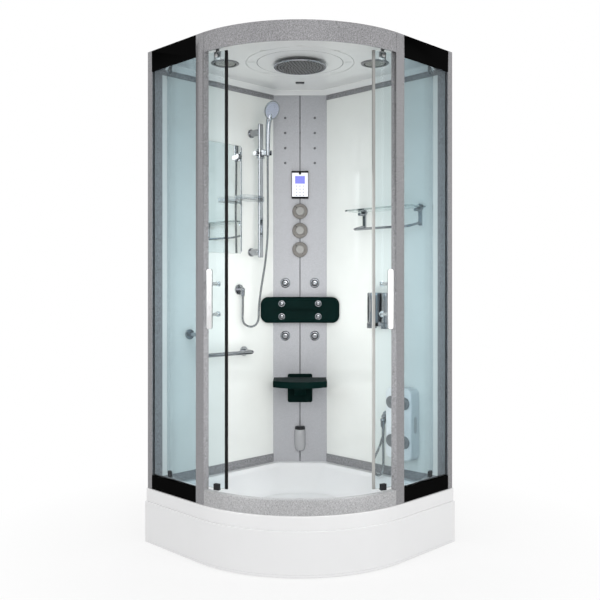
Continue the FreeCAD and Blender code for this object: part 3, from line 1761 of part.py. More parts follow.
def build():
    """Every sub-part by its node name."""
    shapes = {
        "shower_tray": shower_tray(),
        "tray_apron": tray_apron(),
        "tray_frame": tray_frame(),
        "tray_feet": tray_feet(),
        "drain_cover": drain_cover(),
        "drain_trap": drain_trap(),
        "bottom_rail": bottom_rail(),
        "top_header": top_header(),
        "door_track": door_track(),
        "frame_posts": both(wall_post(), *front_post()),
        "side_rails": both(*side_header(), side_sill()),
        "side_glass": both(side_glass()),
        "glazing_seals": glazing_seals(),
        "back_panels": both(back_panel()),
        "back_frames": both(back_frame()),
        "column_panel": column_panel(),
        "ceiling": ceiling(),
        "overhead_shower": overhead_shower(),
        "ceiling_grilles": ceiling_grilles(),
        "controller_case": controller_case(),
        "controller_screen": controller_screen(),
        "mixer_knob": knob(knob_heights[0]),
        "diverter_knob": knob(knob_heights[1]),
        "jet_knob": knob(knob_heights[2]),
        "valve_body": valve_body(),
        "column_jets": column_jets(),
        "backrest_pad": backrest_pad(),
        "seat_bracket": seat_bracket(),
        "seat_plate": seat_plate(),
        "steam_outlet": steam_outlet(),
        "steam_generator": steam_generator(),
        "control_box": control_box(),
        "wall_mirror": mirror(),
        "slide_bar": slide_bar(),
        "slider": slider(),
        "handset": handset(),
        "soap_dish": soap_dish(),
        "shower_hose": hose(shower_route, hose_diameter, left_point),
        "hose_outlets": hose_outlets(),
        "grab_bar": grab_bar(),
        "glass_shelf": glass_shelf(),
        "towel_rail": towel_rail(),
        "dispenser": dispenser(),
        "dispenser_lever_left": lever(lever_places()[0]),
        "dispenser_lever_right": lever(lever_places()[1]),
        "foot_massager": foot_massager(),
        "foot_discs": foot_discs(),
        "foot_hose": hose(foot_route, hose_diameter, right_point),
    }
    shapes.update(doors())
    return shapes


def main():
    """Builds and writes every sub-part."""
    os.makedirs("parts", exist_ok=True)
    print("right door axis", door_path.axis, "swing", round(door_path.swing_deg, 3))
    for name, shape in build().items():
        solids = len(shape.Solids)
        print(f"{name}: {solids} solids, valid {shape.isValid()}, volume {shape.Volume / 1000:.1f} cm3")
        shape.exportStep(f"parts/{name}.step")


main()
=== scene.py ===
"""Looks of the steam shower cabin: finishes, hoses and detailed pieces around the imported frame.

Metres, +Z up. The origin is on the floor, in the middle of the square that the cabin fits. The back
walls are the planes x = 0.5 and y = 0.5, and the doors face the direction (-1, -1). Places inside
are given along a wall (a), off it (b) and up (z), or along the corner's diagonal: u to the right as
seen from the doors, and d out of the inner corner.
"""

import logging
import math
from dataclasses import dataclass, field
from enum import Enum
from typing import Callable, Iterable, Sequence

import bpy
from mathutils import Matrix, Vector


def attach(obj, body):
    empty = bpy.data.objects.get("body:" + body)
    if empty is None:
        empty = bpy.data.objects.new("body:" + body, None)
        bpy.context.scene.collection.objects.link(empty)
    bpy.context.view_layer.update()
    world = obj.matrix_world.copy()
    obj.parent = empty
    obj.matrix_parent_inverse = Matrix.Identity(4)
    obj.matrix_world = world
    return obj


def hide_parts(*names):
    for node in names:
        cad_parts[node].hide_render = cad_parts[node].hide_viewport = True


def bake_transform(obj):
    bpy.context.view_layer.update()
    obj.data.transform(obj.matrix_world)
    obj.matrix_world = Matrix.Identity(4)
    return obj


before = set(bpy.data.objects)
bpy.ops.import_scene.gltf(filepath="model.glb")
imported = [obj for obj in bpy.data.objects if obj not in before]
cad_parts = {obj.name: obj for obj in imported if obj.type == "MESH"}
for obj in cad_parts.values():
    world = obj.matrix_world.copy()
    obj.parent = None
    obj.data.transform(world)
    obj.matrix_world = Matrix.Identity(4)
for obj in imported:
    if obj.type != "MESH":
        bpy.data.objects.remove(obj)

LOG = logging.getLogger("cabin")

Point = tuple[float, float, float]
Colour = tuple[float, float, float]

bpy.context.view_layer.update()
HALF = 0.5
FLAT = 0.390
ARC_CENTRE = HALF - FLAT
CORNER_RADIUS = 2 * HALF - FLAT
OUT_OF_CORNER = Vector((-1, -1, 0)).normalized()
UP = Vector((0, 0, 1))
SKIN = 0.0004  # how far a made face stays inside the plane of the CAD's face
SMOOTH_ANGLE = math.radians(35)
HOSE_SMOOTH_ANGLE = math.radians(60)
FLATS_WEIGHT = 70
TURNED_MERGE = 0.00002
NODE_MERGE = 0.00001
NODE_FLAT_ANGLE = math.radians(0.8)


def diagonal_point(u: float, d: float, z: float) -> Vector:
    """Point u across the corner's diagonal, d out of the corner and z up.

    Args:
        u: distance to the right, as seen from the doors.
        d: distance out of the inner corner.
        z: height.

    Returns:
        The point in the row frame.
    """
    reach = math.sqrt(2)
    return Vector((HALF - (d - u) / reach, HALF - (d + u) / reach, z))


def left_point(a: float, b: float, z: float) -> Vector:
    """Point a along the left wall from the corner and b off it."""
    return Vector((HALF - a, HALF - b, z))


def right_point(a: float, b: float, z: float) -> Vector:
    """Point a along the right wall from the corner and b off it."""
    return Vector((HALF - b, HALF - a, z))


def mirrored(point: Vector) -> Vector:
    """The same point on the other side of the corner's diagonal."""
    return Vector((point.y, point.x, point.z))


def turn_to(axis: Vector) -> Matrix:
    """The turn that brings upright to an axis."""
    return UP.rotation_difference(axis).to_matrix().to_4x4()


def on_circle(radius: float, count: int, lead: float = 0.0) -> list[tuple[float, float]]:
    """Even places round a circle.

    Args:
        radius: of the circle.
        count: number of places.
        lead: share of a step by which the first place is ahead.

    Returns:
        Pairs of distances along both axes.
    """
    angles = [2 * math.pi * (step + lead) / count for step in range(count)]
    return [(radius * math.cos(angle), radius * math.sin(angle)) for angle in angles]


# ---------------------------------------------------------------------------------------------
# Finishes
# ---------------------------------------------------------------------------------------------


class Graph:
    """A material's node tree, with short calls for the nodes that the finishes share."""

    def __init__(self, name: str) -> None:
        """Makes an empty material with its output and its Object coordinates.

        Args:
            name: the material's name.
        """
        self.material = bpy.data.materials.new(name)
        self.material.use_nodes = True
        self.tree = self.material.node_tree
        self.tree.nodes.clear()
        self.output = self.add("ShaderNodeOutputMaterial")
        self.coords = self.add("ShaderNodeTexCoord").outputs["Object"]

    def add(self, kind: str, **values: object) -> bpy.types.Node:
        """Adds a node and sets its properties or its inputs' own values.

        Args:
            kind: the node's type name.
            values: property names, or input names with underscores for spaces.

        Returns:
            The new node.
        """
        node = self.tree.nodes.new(kind)
        for key, value in values.items():
            if hasattr(node, key):
                setattr(node, key, value)
            else:
                node.inputs[key.replace("_", " ")].default_value = value
        return node

    def link(self, source: bpy.types.NodeSocket, target: bpy.types.NodeSocket) -> None:
        """Joins two sockets."""
        self.tree.links.new(source, target)

    def noise(self, scale: float, detail: float = 2.0, stretch: Point = (1, 1, 1)) -> bpy.types.NodeSocket:
        """Noise on Object coordinates.

        Args:
            scale: features per metre.
            detail: octaves.
            stretch: scale of the pattern along each axis; a small value draws it out.

        Returns:
            The noise's factor socket.
        """
        mapping = self.add("ShaderNodeMapping")
        mapping.inputs["Scale"].default_value = stretch
        self.link(self.coords, mapping.inputs["Vector"])
        texture = self.add("ShaderNodeTexNoise", Scale=scale, Detail=detail, Roughness=0.6)
        self.link(mapping.outputs["Vector"], texture.inputs["Vector"])
        return texture.outputs["Fac"]

    def ramp(self, source: bpy.types.NodeSocket, stops: Sequence[tuple[float, Colour]]) -> bpy.types.NodeSocket:
        """Colour ramp over a factor.

        Args:
            source: the factor.
            stops: position and colour of each stop.

        Returns:
            The ramp's colour socket.
        """
        node = self.add("ShaderNodeValToRGB")
        elements = node.color_ramp.elements
        while len(elements) < len(stops):
            elements.new(0.5)
        for element, (position, colour) in zip(elements, stops):
            element.position = position
            element.color = (*colour, 1)
        self.link(source, node.inputs["Fac"])
        return node.outputs["Color"]

    def span(self, source: bpy.types.NodeSocket, low: float, high: float) -> bpy.types.NodeSocket:
        """Maps a factor of 0 to 1 onto another range.

        Args:
            source: the factor.
            low: the value at 0.
            high: the value at 1.

        Returns:
            The mapped value's socket.
        """
        node = self.add("ShaderNodeMapRange", To_Min=low, To_Max=high)
        self.link(source, node.inputs["Value"])
        return node.outputs["Result"]

    def bump(self, source: bpy.types.NodeSocket, height: float) -> bpy.types.NodeSocket:
        """Bump that follows a factor.

        Args:
            source: the factor.
            height: of the bump, in metres.

        Returns:
            The normal's socket.
        """
        node = self.add("ShaderNodeBump", Distance=height, Strength=1.0)
        self.link(source, node.inputs["Height"])
        return node.outputs["Normal"]

    def surface(self, shader: bpy.types.NodeSocket) -> bpy.types.Material:
        """Puts the shader on the output and returns the material."""
        self.link(shader, self.output.inputs["Surface"])
        return self.material


def shade(colour: Colour, share: float) -> Colour:
    """A colour made darker or lighter by a share."""
    return tuple(min(1.0, channel * share) for channel in colour)


@dataclass(frozen=True)
class Finish:
    """Smooth solid finish with faint unevenness of colour and gloss."""

    name: str
    colour: Colour
    roughness: float = 0.35
    metallic: float = 0.0
    coat: float = 0.0
    mottle: float = 0.03
    mottle_scale: float = 9.0
    wave: float = 0.0
    wave_scale: float = 14.0
    specular: float = 0.5

    def material(self) -> bpy.types.Material:
        """Builds the material.

        Returns:
            The new material.
        """
        graph = Graph(self.name)
        shader = graph.add("ShaderNodeBsdfPrincipled", Metallic=self.metallic, Coat_Weight=self.coat)
        shader.inputs["Specular IOR Level"].default_value = self.specular
        self.dress(graph, shader)
        return graph.surface(shader.outputs["BSDF"])

    def dress(self, graph: Graph, shader: bpy.types.Node) -> None:
        """Drives the colour, gloss and bump of the shader.

        Args:
            graph: the material's nodes.
            shader: the node whose inputs are driven.
        """
        large = graph.noise(self.mottle_scale, 3.0)
        tones = ((0.3, shade(self.colour, 1 - self.mottle)), (0.7, shade(self.colour, 1 + self.mottle)))
        graph.link(graph.ramp(large, tones), shader.inputs["Base Color"])
        fine = graph.noise(self.mottle_scale * 5, 4.0)
        spread = graph.span(fine, self.roughness * 0.85, self.roughness * 1.2)
        graph.link(spread, shader.inputs["Roughness"])
        if self.wave:
            graph.link(graph.bump(graph.noise(self.wave_scale, 1.0), self.wave), shader.inputs["Normal"])


@dataclass(frozen=True)
class SpeckledCoat(Finish):
    """Metallic paint with fine light and dark grains."""

    grain: float = 0.2
    grain_scale: float = 330.0

    def dress(self, graph: Graph, shader: bpy.types.Node) -> None:
        """Mixes two sizes of grain into the colour and a slight orange peel into the surface.

        Args:
            graph: the material's nodes.
            shader: the node whose inputs are driven.
        """
        coarse = graph.noise(self.grain_scale, 2.0)
        fine = graph.noise(self.grain_scale * 3, 1.0)
        total = graph.add("ShaderNodeMath", operation="ADD", use_clamp=False)
        graph.link(coarse, total.inputs[0])
        graph.link(fine, total.inputs[1])
        average = graph.add("ShaderNodeMath", operation="MULTIPLY")
        average.inputs[1].default_value = 0.5
        graph.link(total.outputs[0], average.inputs[0])
        tones = (
            (0.36, shade(self.colour, 1 - self.grain)),
            (0.5, self.colour),
            (0.64, shade(self.colour, 1 + self.grain)),
        )
        graph.link(graph.ramp(average.outputs[0], tones), shader.inputs["Base Color"])
        graph.link(graph.span(coarse, self.roughness * 0.8, self.roughness * 1.25), shader.inputs["Roughness"])
        graph.link(graph.bump(fine, 0.00004), shader.inputs["Normal"])


@dataclass(frozen=True)
class Plating(Finish):
    """Polished plating with faint smears that change its gloss."""

    metallic: float = 1.0
    roughness: float = 0.07

    def dress(self, graph: Graph, shader: bpy.types.Node) -> None:
        """Keeps the colour even and lets smears soften the reflection.

        Args:
            graph: the material's nodes.
            shader: the node whose inputs are driven.
        """
        smear = graph.noise(30.0, 4.0)
        tones = ((0.35, shade(self.colour, 0.95)), (0.65, self.colour))
        graph.link(graph.ramp(smear, tones), shader.inputs["Base Color"])
        graph.link(graph.span(smear, self.roughness * 0.6, self.roughness * 1.6), shader.inputs["Roughness"])


@dataclass(frozen=True)
class BrushedMetal(Finish):
    """Drawn or brushed metal with lines along one axis."""

    metallic: float = 1.0
    roughness: float = 0.3
    grain: Point = (1.0, 1.0, 0.03)

    def dress(self, graph: Graph, shader: bpy.types.Node) -> None:
        """Stretches noise into lines for the colour, the gloss and a shallow bump.

        Args:
            graph: the material's nodes.
            shader: the node whose inputs are driven.
        """
        lines = graph.noise(900.0, 2.0, self.grain)
        tones = ((0.3, shade(self.colour, 0.88)), (0.7, shade(self.colour, 1.08)))
        graph.link(graph.ramp(lines, tones), shader.inputs["Base Color"])
        graph.link(graph.span(lines, self.roughness * 0.8, self.roughness * 1.3), shader.inputs["Roughness"])
        graph.link(graph.bump(lines, 0.00003), shader.inputs["Normal"])


@dataclass(frozen=True)
class Moulded(Finish):
    """Moulded plastic or foam skin with a fine leathery or satin texture."""

    texture_scale: float = 600.0
    texture_height: float = 0.00008

    def dress(self, graph: Graph, shader: bpy.types.Node) -> None:
        """Adds a cell texture to the plain finish.

        Args:
            graph: the material's nodes.
            shader: the node whose inputs are driven.
        """
        super().dress(graph, shader)
        cells = graph.add("ShaderNodeTexVoronoi", Scale=self.texture_scale)
        graph.link(graph.coords, cells.inputs["Vector"])
        graph.link(graph.bump(cells.outputs["Distance"], self.texture_height), shader.inputs["Normal"])


@dataclass(frozen=True)
class Pane(Finish):
    """Clear or tinted glass that lets lamps through."""

    roughness: float = 0.0
    index: float = 1.18
    smear: float = 0.02

    def material(self) -> bpy.types.Material:
        """Builds glass whose shadow rays pass straight through in its own tint.

        Returns:
            The new material.
        """
        graph = Graph(self.name)
        shader = graph.add(
            "ShaderNodeBsdfPrincipled", IOR=self.index, Transmission_Weight=1.0, Roughness=self.smear
        )
        streaks = graph.noise(4.0, 2.0)
        tones = ((0.3, shade(self.colour, 0.985)), (0.7, self.colour))
        graph.link(graph.ramp(streaks, tones), shader.inputs["Base Color"])
        root = tuple(math.sqrt(channel) for channel in self.colour)
        through = graph.add("ShaderNodeBsdfTransparent", Color=(*root, 1))
        path = graph.add("ShaderNodeLightPath")
        either = graph.add("ShaderNodeMath", operation="MAXIMUM")
        graph.link(path.outputs["Is Shadow Ray"], either.inputs[0])
        graph.link(path.outputs["Is Diffuse Ray"], either.inputs[1])
        mix = graph.add("ShaderNodeMixShader")
        graph.link(either.outputs[0], mix.inputs["Fac"])
        graph.link(shader.outputs["BSDF"], mix.inputs[1])
        graph.link(through.outputs["BSDF"], mix.inputs[2])
        return graph.surface(mix.outputs["Shader"])


@dataclass(frozen=True)
class WovenHose(Finish):
    """Chrome hose wound from a strip: fine rings along the piece's own UV map, with painted shade in the grooves
    between them.
    """

    metallic: float = 1.0
    roughness: float = 0.12
    rings: float = 280.0

    def dress(self, graph: Graph, shader: bpy.types.Node) -> None:
        """Puts rings across the hose that bump it, and darkens their grooves with painted shade.

        Args:
            graph: the material's nodes.
            shader: the node whose inputs are driven.
        """
        uv = graph.add("ShaderNodeTexCoord").outputs["UV"]
        wave = graph.add("ShaderNodeTexWave", Scale=self.rings, bands_direction="X")
        graph.link(uv, wave.inputs["Vector"])
        # The ramp's dark end is painted shade in the grooves between the windings
        tones = ((0.05, shade(self.colour, 0.35)), (0.4, self.colour))
        graph.link(graph.ramp(wave.outputs["Fac"], tones), shader.inputs["Base Color"])
        graph.link(graph.span(wave.outputs["Fac"], 0.3, self.roughness), shader.inputs["Roughness"])
        graph.link(graph.bump(wave.outputs["Fac"], 0.0004), shader.inputs["Normal"])


@dataclass(frozen=True)
class Perforated(Finish):
    """Plate with an even grid of small holes, drawn as dark spots of painted shade."""

    spacing: float = 0.0042

    def dress(self, graph: Graph, shader: bpy.types.Node) -> None:
        """Sinks round spots on a grid in plan and darkens them with painted shade for the holes.

        Args:
            graph: the material's nodes.
            shader: the node whose inputs are driven.
        """
        mapping = graph.add("ShaderNodeMapping")
        mapping.inputs["Scale"].default_value = (1, 1, 0)
        graph.link(graph.coords, mapping.inputs["Vector"])
        cells = graph.add("ShaderNodeTexVoronoi", Scale=1 / self.spacing, Randomness=0.0)
        graph.link(mapping.outputs["Vector"], cells.inputs["Vector"])
        # The dark spots are painted shade inside the holes
        tones = ((0.26, shade(self.colour, 0.12)), (0.34, self.colour))
        graph.link(graph.ramp(cells.outputs["Distance"], tones), shader.inputs["Base Color"])
        graph.link(graph.bump(cells.outputs["Distance"], 0.0006), shader.inputs["Normal"])


@dataclass(frozen=True)
class Glow(Finish):
    """Lit display."""

    strength: float = 0.6

    def material(self) -> bpy.types.Material:
        """Builds a shader that shines a little in its own colour.

        Returns:
            The new material.
        """
        graph = Graph(self.name)
        shader = graph.add("ShaderNodeBsdfPrincipled", Roughness=self.roughness)
        self.dress(graph, shader)
        shader.inputs["Emission Color"].default_value = (*self.colour, 1)
        shader.inputs["Emission Strength"].default_value = self.strength
        return graph.surface(shader.outputs["BSDF"])


class Look(Enum):
    """Every finish of the cabin, with the record's slot that it belongs to."""

    FRAME = (SpeckledCoat("frame_grey", (0.262, 0.260, 0.270), 0.5, 0.1, grain=0.55, grain_scale=210), "grey_frame")
    COLUMN = (SpeckledCoat("column_grey", (0.42, 0.42, 0.44), 0.45, 0.1, grain=0.22, grain_scale=260), "grey_column")
    # Painted light: the frame's grey made lighter for the bottom rail, which is the same grey as the frame
    SILL = (SpeckledCoat("frame_grey_painted_light", (0.42, 0.42, 0.428), 0.5, 0.1, grain=0.4, grain_scale=210), "grey_frame")
    BLACK = (Finish("black_lacquer", (0.004, 0.004, 0.004), 0.5, specular=0.0), "black_rail")
    ACRYLIC = (Finish("tray_acrylic", (0.83, 0.83, 0.835), 0.16, coat=0.5, mottle=0.006, wave=0.0002), "white_acrylic")
    CEILING = (Finish("ceiling_acrylic", (0.80, 0.80, 0.79), 0.22, coat=0.3, mottle=0.008), "white_acrylic")
    PANEL = (Finish("wall_panel", (0.82, 0.83, 0.80), 0.10, coat=0.4, mottle=0.01), "white_panel")
    HOUSING = (Finish("housing_white", (0.80, 0.81, 0.82), 0.2, coat=0.3, mottle=0.01), "white_acrylic")
    CHROME = (Plating("polished_chrome", (0.38, 0.39, 0.41)), "chrome")
    PLATED = (Plating("bright_plated", (0.34, 0.35, 0.37), 0.10), "plated_plastic")
    STEEL = (BrushedMetal("plain_steel", (0.5, 0.5, 0.5), 0.35), "steel")
    BRASS = (BrushedMetal("cast_brass", (0.62, 0.46, 0.2), 0.4), "brass")
    HOSE = (WovenHose("hose_chrome", (0.50, 0.51, 0.52)), "chrome")
    CLEAR = (Pane("door_pane", (0.84, 0.91, 0.93), smear=0.0), "clear_glass")
    TINTED = (Pane("side_pane", (0.67, 0.75, 0.79), smear=0.0), "tinted_glass")
    RUBBER = (Moulded("seal_black", (0.006, 0.006, 0.006), 0.6, specular=0.15), "black_rubber")
    PALE_SEAL = (Moulded("pale_seal", (0.30, 0.30, 0.29), 0.45), "grey_rubber")
    GREEN = (Moulded("dark_green_skin", (0.0012, 0.011, 0.0095), 0.5, specular=0.04), "dark_green")
    GREY_PLASTIC = (Moulded("grey_moulding", (0.20, 0.20, 0.205), 0.38), "grey_plastic")
    DARK_PLASTIC = (Moulded("dark_moulding", (0.02, 0.02, 0.022), 0.45, specular=0.25), "dark_plastic")
    KNOB_RING = (Moulded("knob_ring", (0.22, 0.205, 0.19), 0.4, specular=0.3), "knob_grey")
    KNOB_FACE = (Finish("knob_face", (0.31, 0.30, 0.285), 0.3, specular=0.3), "knob_grey")
    SPRAY = (Finish("spray_face", (0.42, 0.45, 0.55), 0.2, coat=0.3), "plated_plastic")
    SCREEN = (Glow("lit_screen", (0.10, 0.11, 0.52), 0.15, strength=0.55), "screen")
    KEY = (Finish("touch_mark", (0.35, 0.36, 0.45), 0.4), "screen")
    SPRAY_PLATE = (Moulded("spray_plate", (0.13, 0.13, 0.128), 0.4), "chrome")
    NOZZLE = (Moulded("rubber_nozzle", (0.06, 0.06, 0.062), 0.5), "grey_rubber")
    SHADE_LINE = (Finish("shade_line", (0.52, 0.52, 0.51), 0.4), "white_acrylic")
    # Painted shade: a dark strip that stands for the shade in the column's middle groove
    SEAM = (Finish("painted_groove_shade", (0.10, 0.10, 0.105), 0.4), "grey_column")
    HEAD = (Finish("small_head", (0.12, 0.12, 0.125), 0.35), "grey_plastic")
    CASE = (BrushedMetal("case_silver", (0.74, 0.74, 0.78), 0.35, metallic=0.3), "plated_plastic")
    BAR = (BrushedMetal("bright_bar", (0.72, 0.72, 0.73), 0.22), "chrome")
    DISH = (Pane("dish_clear", (0.80, 0.82, 0.84), smear=0.05), "plated_plastic")
    SHELF = (Pane("shelf_glass", (0.74, 0.80, 0.80)), "clear_glass")
    HOOD = (Finish("hood_grey", (0.38, 0.38, 0.39), 0.12, coat=0.6), "grey_plastic")
    PERFORATED = (Perforated("perforated_plate", (0.36, 0.36, 0.33), 0.35), "grey_plastic")
    MIRROR = (Plating("mirror_silver", (0.80, 0.82, 0.81), 0.01), "mirror")

    @property
    def slot(self) -> str:
        """The record's material slot."""
        return self.value[1]

    def material(self) -> bpy.types.Material:
        """The finish's material, built on its first use.

        Returns:
            The new or the known material.
        """
        finish = self.value[0]
        known = bpy.data.materials.get(finish.name)
        return known if known else finish.material()


# ---------------------------------------------------------------------------------------------
# Modelling by hand
# ---------------------------------------------------------------------------------------------


def place_object(name: str, data: bpy.types.ID) -> bpy.types.Object:
    """Puts a new object in the scene.

    Args:
        name: the object's name.
        data: its mesh, curve, lamp or camera.

    Returns:
        The object.
    """
    piece = bpy.data.objects.new(name, data)
    bpy.context.scene.collection.objects.link(piece)
    return piece


class Bench:
    """Operators on one mesh at a time, as a modeller would use them."""

    @staticmethod
    def clear() -> None:
        """Leaves edit mode and deselects everything."""
        if bpy.context.mode != "OBJECT":
            bpy.ops.object.mode_set(mode="OBJECT")
        bpy.ops.object.select_all(action="DESELECT")

    @staticmethod
    def hold(piece: bpy.types.Object) -> bpy.types.Object:
        """Makes one object the only selected and active one.

        Args:
            piece: the object.

        Returns:
            The same object.
        """
        Bench.clear()
        piece.select_set(True)
        bpy.context.view_layer.objects.active = piece
        return piece

    @staticmethod
    def settle(name: str) -> bpy.types.Object:
        """Names the active object and puts its place into its mesh.

        Args:
            name: the object's new name.

        Returns:
            The active object.
        """
        bpy.ops.object.mode_set(mode="OBJECT")
        piece = bpy.context.object
        piece.name = name
        piece.data.name = name
        Bench.hold(piece)
        bpy.ops.object.transform_apply(location=True, rotation=True, scale=True)
        return piece

    @staticmethod
    def loop(name: str, points: Sequence[Vector]) -> bpy.types.Object:
        """A closed ring of edges: a circle whose points are moved to their places.

        Args:
            name: the object's name.
            points: the ring's points in order.

        Returns:
            The object, in object mode.
        """
        Bench.clear()
        bpy.ops.mesh.primitive_circle_add(vertices=len(points), radius=1.0)
        piece = bpy.context.object
        piece.name = name
        for vertex, point in zip(piece.data.vertices, points):
            vertex.co = point
        return piece

    @staticmethod
    def chain(name: str, points: Sequence[Vector]) -> bpy.types.Object:
        """An open chain of edges, drawn by extruding one point.

        Args:
            name: the object's name.
            points: the chain's points in order.

        Returns:
            The object, in edit mode with its last point selected.
        """
        Bench.clear()
        bpy.ops.mesh.primitive_plane_add(size=0.001, location=points[0])
        bpy.context.object.name = name
        bpy.ops.object.mode_set(mode="EDIT")
        bpy.ops.mesh.merge(type="CENTER")
        for before, after in zip(points, points[1:]):
            bpy.ops.mesh.extrude_region_move(TRANSFORM_OT_translate={"value": after - before})
        return bpy.context.object

    @staticmethod
    def lathe(
        name: str, profile: Sequence[tuple[float, float]], base: Vector, axis: Vector, steps: int = 48
    ) -> bpy.types.Object:
        """Turned piece: a profile of radius and height, spun about an axis.

        Args:
            name: the piece's name.
            profile: pairs of radius and height along the axis.
            base: the point of the axis at height nought.
            axis: the axis' direction.
            steps: facets round the axis.

        Returns:
            The turned object.
        """
        Bench.chain(name, [Vector((radius, 0, height)) for radius, height in profile])
        bpy.ops.mesh.select_all(action="SELECT")
        bpy.ops.mesh.spin(steps=steps, angle=2 * math.pi, center=(0, 0, 0), axis=(0, 0, 1))
        bpy.ops.mesh.select_all(action="SELECT")
        bpy.ops.mesh.remove_doubles(threshold=TURNED_MERGE)
        bpy.ops.mesh.normals_make_consistent(inside=False)
        piece = Bench.settle(name)
        piece.data.transform(Matrix.Translation(base) @ turn_to(axis.normalized()))
        Bench.smooth(piece)
        return piece

    @staticmethod
    def loft(name: str, rings: Sequence[Sequence[Vector]], closed: bool = False) -> bpy.types.Object:
        """Skin through rings of equally many points, joined pair by pair.

        Args:
            name: the piece's name.
            rings: the rings in order.
            closed: whether the last ring is joined to the first; the ends are filled otherwise.

        Returns:
            The lofted object.
        """
        count = len(rings[0])
        parts = [Bench.loop(f"{name}_ring", ring) for ring in rings]
        Bench.hold(parts[0])
        for part in parts:
            part.select_set(True)
        bpy.ops.object.join()
        piece = bpy.context.object
        pairs = [(index, index + 1) for index in range(len(rings) - 1)]
        if closed:
            pairs.append((len(rings) - 1, 0))
        for pair in pairs:
            Bench.pick(piece, lambda v, wanted=pair: v.index // count in wanted)
            bpy.ops.mesh.bridge_edge_loops()
        for index in () if closed else (0, len(rings) - 1):
            Bench.pick(piece, lambda v, wanted=index: v.index // count == wanted)
            bpy.ops.mesh.edge_face_add()
        bpy.ops.mesh.select_all(action="SELECT")
        bpy.ops.mesh.normals_make_consistent(inside=False)
        Bench.settle(name)
        Bench.smooth(piece)
        return piece

    @staticmethod
    def pick(piece: bpy.types.Object, test: Callable[[bpy.types.MeshVertex], bool]) -> None:
        """Selects in edit mode the points that pass a test, with what they span.

        Args:
            piece: the object.
            test: takes a point and says whether it is wanted.
        """
        bpy.ops.object.mode_set(mode="OBJECT")
        Bench.hold(piece)
        bpy.ops.object.mode_set(mode="EDIT")
        bpy.ops.mesh.select_mode(type="VERT")
        bpy.ops.mesh.select_all(action="DESELECT")
        bpy.ops.object.mode_set(mode="OBJECT")
        for vertex in piece.data.vertices:
            vertex.select = test(vertex)
        bpy.ops.object.mode_set(mode="EDIT")

    @staticmethod
    def plate(name: str, ring: Sequence[Vector], thickness: Vector, bevel: float = 0.0) -> bpy.types.Object:
        """Flat plate: a filled outline, extruded and with its rims bevelled.

        Args:
            name: the piece's name.
            ring: the outline's points.
            thickness: the extrusion.
            bevel: width of the rounding of both rims.

        Returns:
            The plate.
        """
        piece = Bench.loop(name, ring)
        Bench.hold(piece)
        bpy.ops.object.mode_set(mode="EDIT")
        bpy.ops.mesh.select_all(action="SELECT")
        bpy.ops.mesh.edge_face_add()
        bpy.ops.mesh.extrude_region_move(TRANSFORM_OT_translate={"value": thickness})
        bpy.ops.mesh.select_all(action="SELECT")
        bpy.ops.mesh.normals_make_consistent(inside=False)
        Bench.settle(name)
        if bevel:
            Bench.bevel(piece, bevel)
        Bench.smooth(piece)
        return piece

    @staticmethod
    def bevel(piece: bpy.types.Object, width: float, segments: int = 3, angle: float = 40.0) -> None:
        """Rounds every edge that is sharper than an angle.

        Args:
            piece: the object.
            width: of the rounding.
            segments: facets of the rounding.
            angle: the least angle between the faces, in degrees.
        """
        modifier = piece.modifiers.new("round", "BEVEL")
        modifier.width = width
        modifier.segments = segments
        modifier.limit_method = "ANGLE"
        modifier.angle_limit = math.radians(angle)
        modifier.use_clamp_overlap = True
        Bench.apply(piece)

    @staticmethod
    def apply(piece: bpy.types.Object) -> None:
        """Applies the piece's modifiers in order.

        Args:
            piece: the object.
        """
        Bench.hold(piece)
        for modifier in list(piece.modifiers):
            bpy.ops.object.modifier_apply(modifier=modifier.name)

    @staticmethod
    def smooth(piece: bpy.types.Object, angle: float = SMOOTH_ANGLE) -> None:
        """Smooths faces that meet at less than an angle, and keeps large faces flat.

        Args:
            piece: the object.
            angle: the angle, in radians.
        """
        Bench.hold(piece)
        bpy.ops.object.shade_smooth_by_angle(angle=angle)
        modifier = piece.modifiers.new("flats", "WEIGHTED_NORMAL")
        modifier.weight = FLATS_WEIGHT
        modifier.keep_sharp = True
        Bench.apply(piece)

    @staticmethod
    def join(name: str, parts: Sequence[bpy.types.Object]) -> bpy.types.Object:
        """Joins meshes into one piece, with the material slots that they bring.

        Args:
            name: the joined piece's name.
            parts: the meshes; all but the first are used up.

        Returns:
            The joined piece.
        """
        Bench.clear()
        for part in parts:
            part.select_set(True)
        bpy.context.view_layer.objects.active = parts[0]
        bpy.ops.object.join()
        parts[0].name = name
        return parts[0]

    @staticmethod
    def repeat(name: str, pattern: bpy.types.Object, moves: Sequence[Matrix]) -> bpy.types.Object:
        """Copies a pattern to many places, each with its own mesh, and joins them.

        Args:
            name: the joined piece's name.
            pattern: the piece at the origin; it is used up.
            moves: where each copy goes.

        Returns:
            The joined piece.
        """
        copies = []
        for move in moves:
            copy = pattern.copy()
            copy.data = pattern.data.copy()
            copy.data.transform(move)
            bpy.context.scene.collection.objects.link(copy)
            copies.append(copy)
        bpy.data.objects.remove(pattern)
        return Bench.join(name, copies)

    @staticmethod
    def keep_part(piece: bpy.types.Object, test: Callable[[Vector], bool]) -> None:
        """Deletes the points of a piece that fail a test on their place.

        Args:
            piece: the object.
            test: takes a point's place and says whether it stays.
        """
        Bench.pick(piece, lambda v: not test(v.co))
        bpy.ops.mesh.delete(type="VERT")
        bpy.ops.object.mode_set(mode="OBJECT")

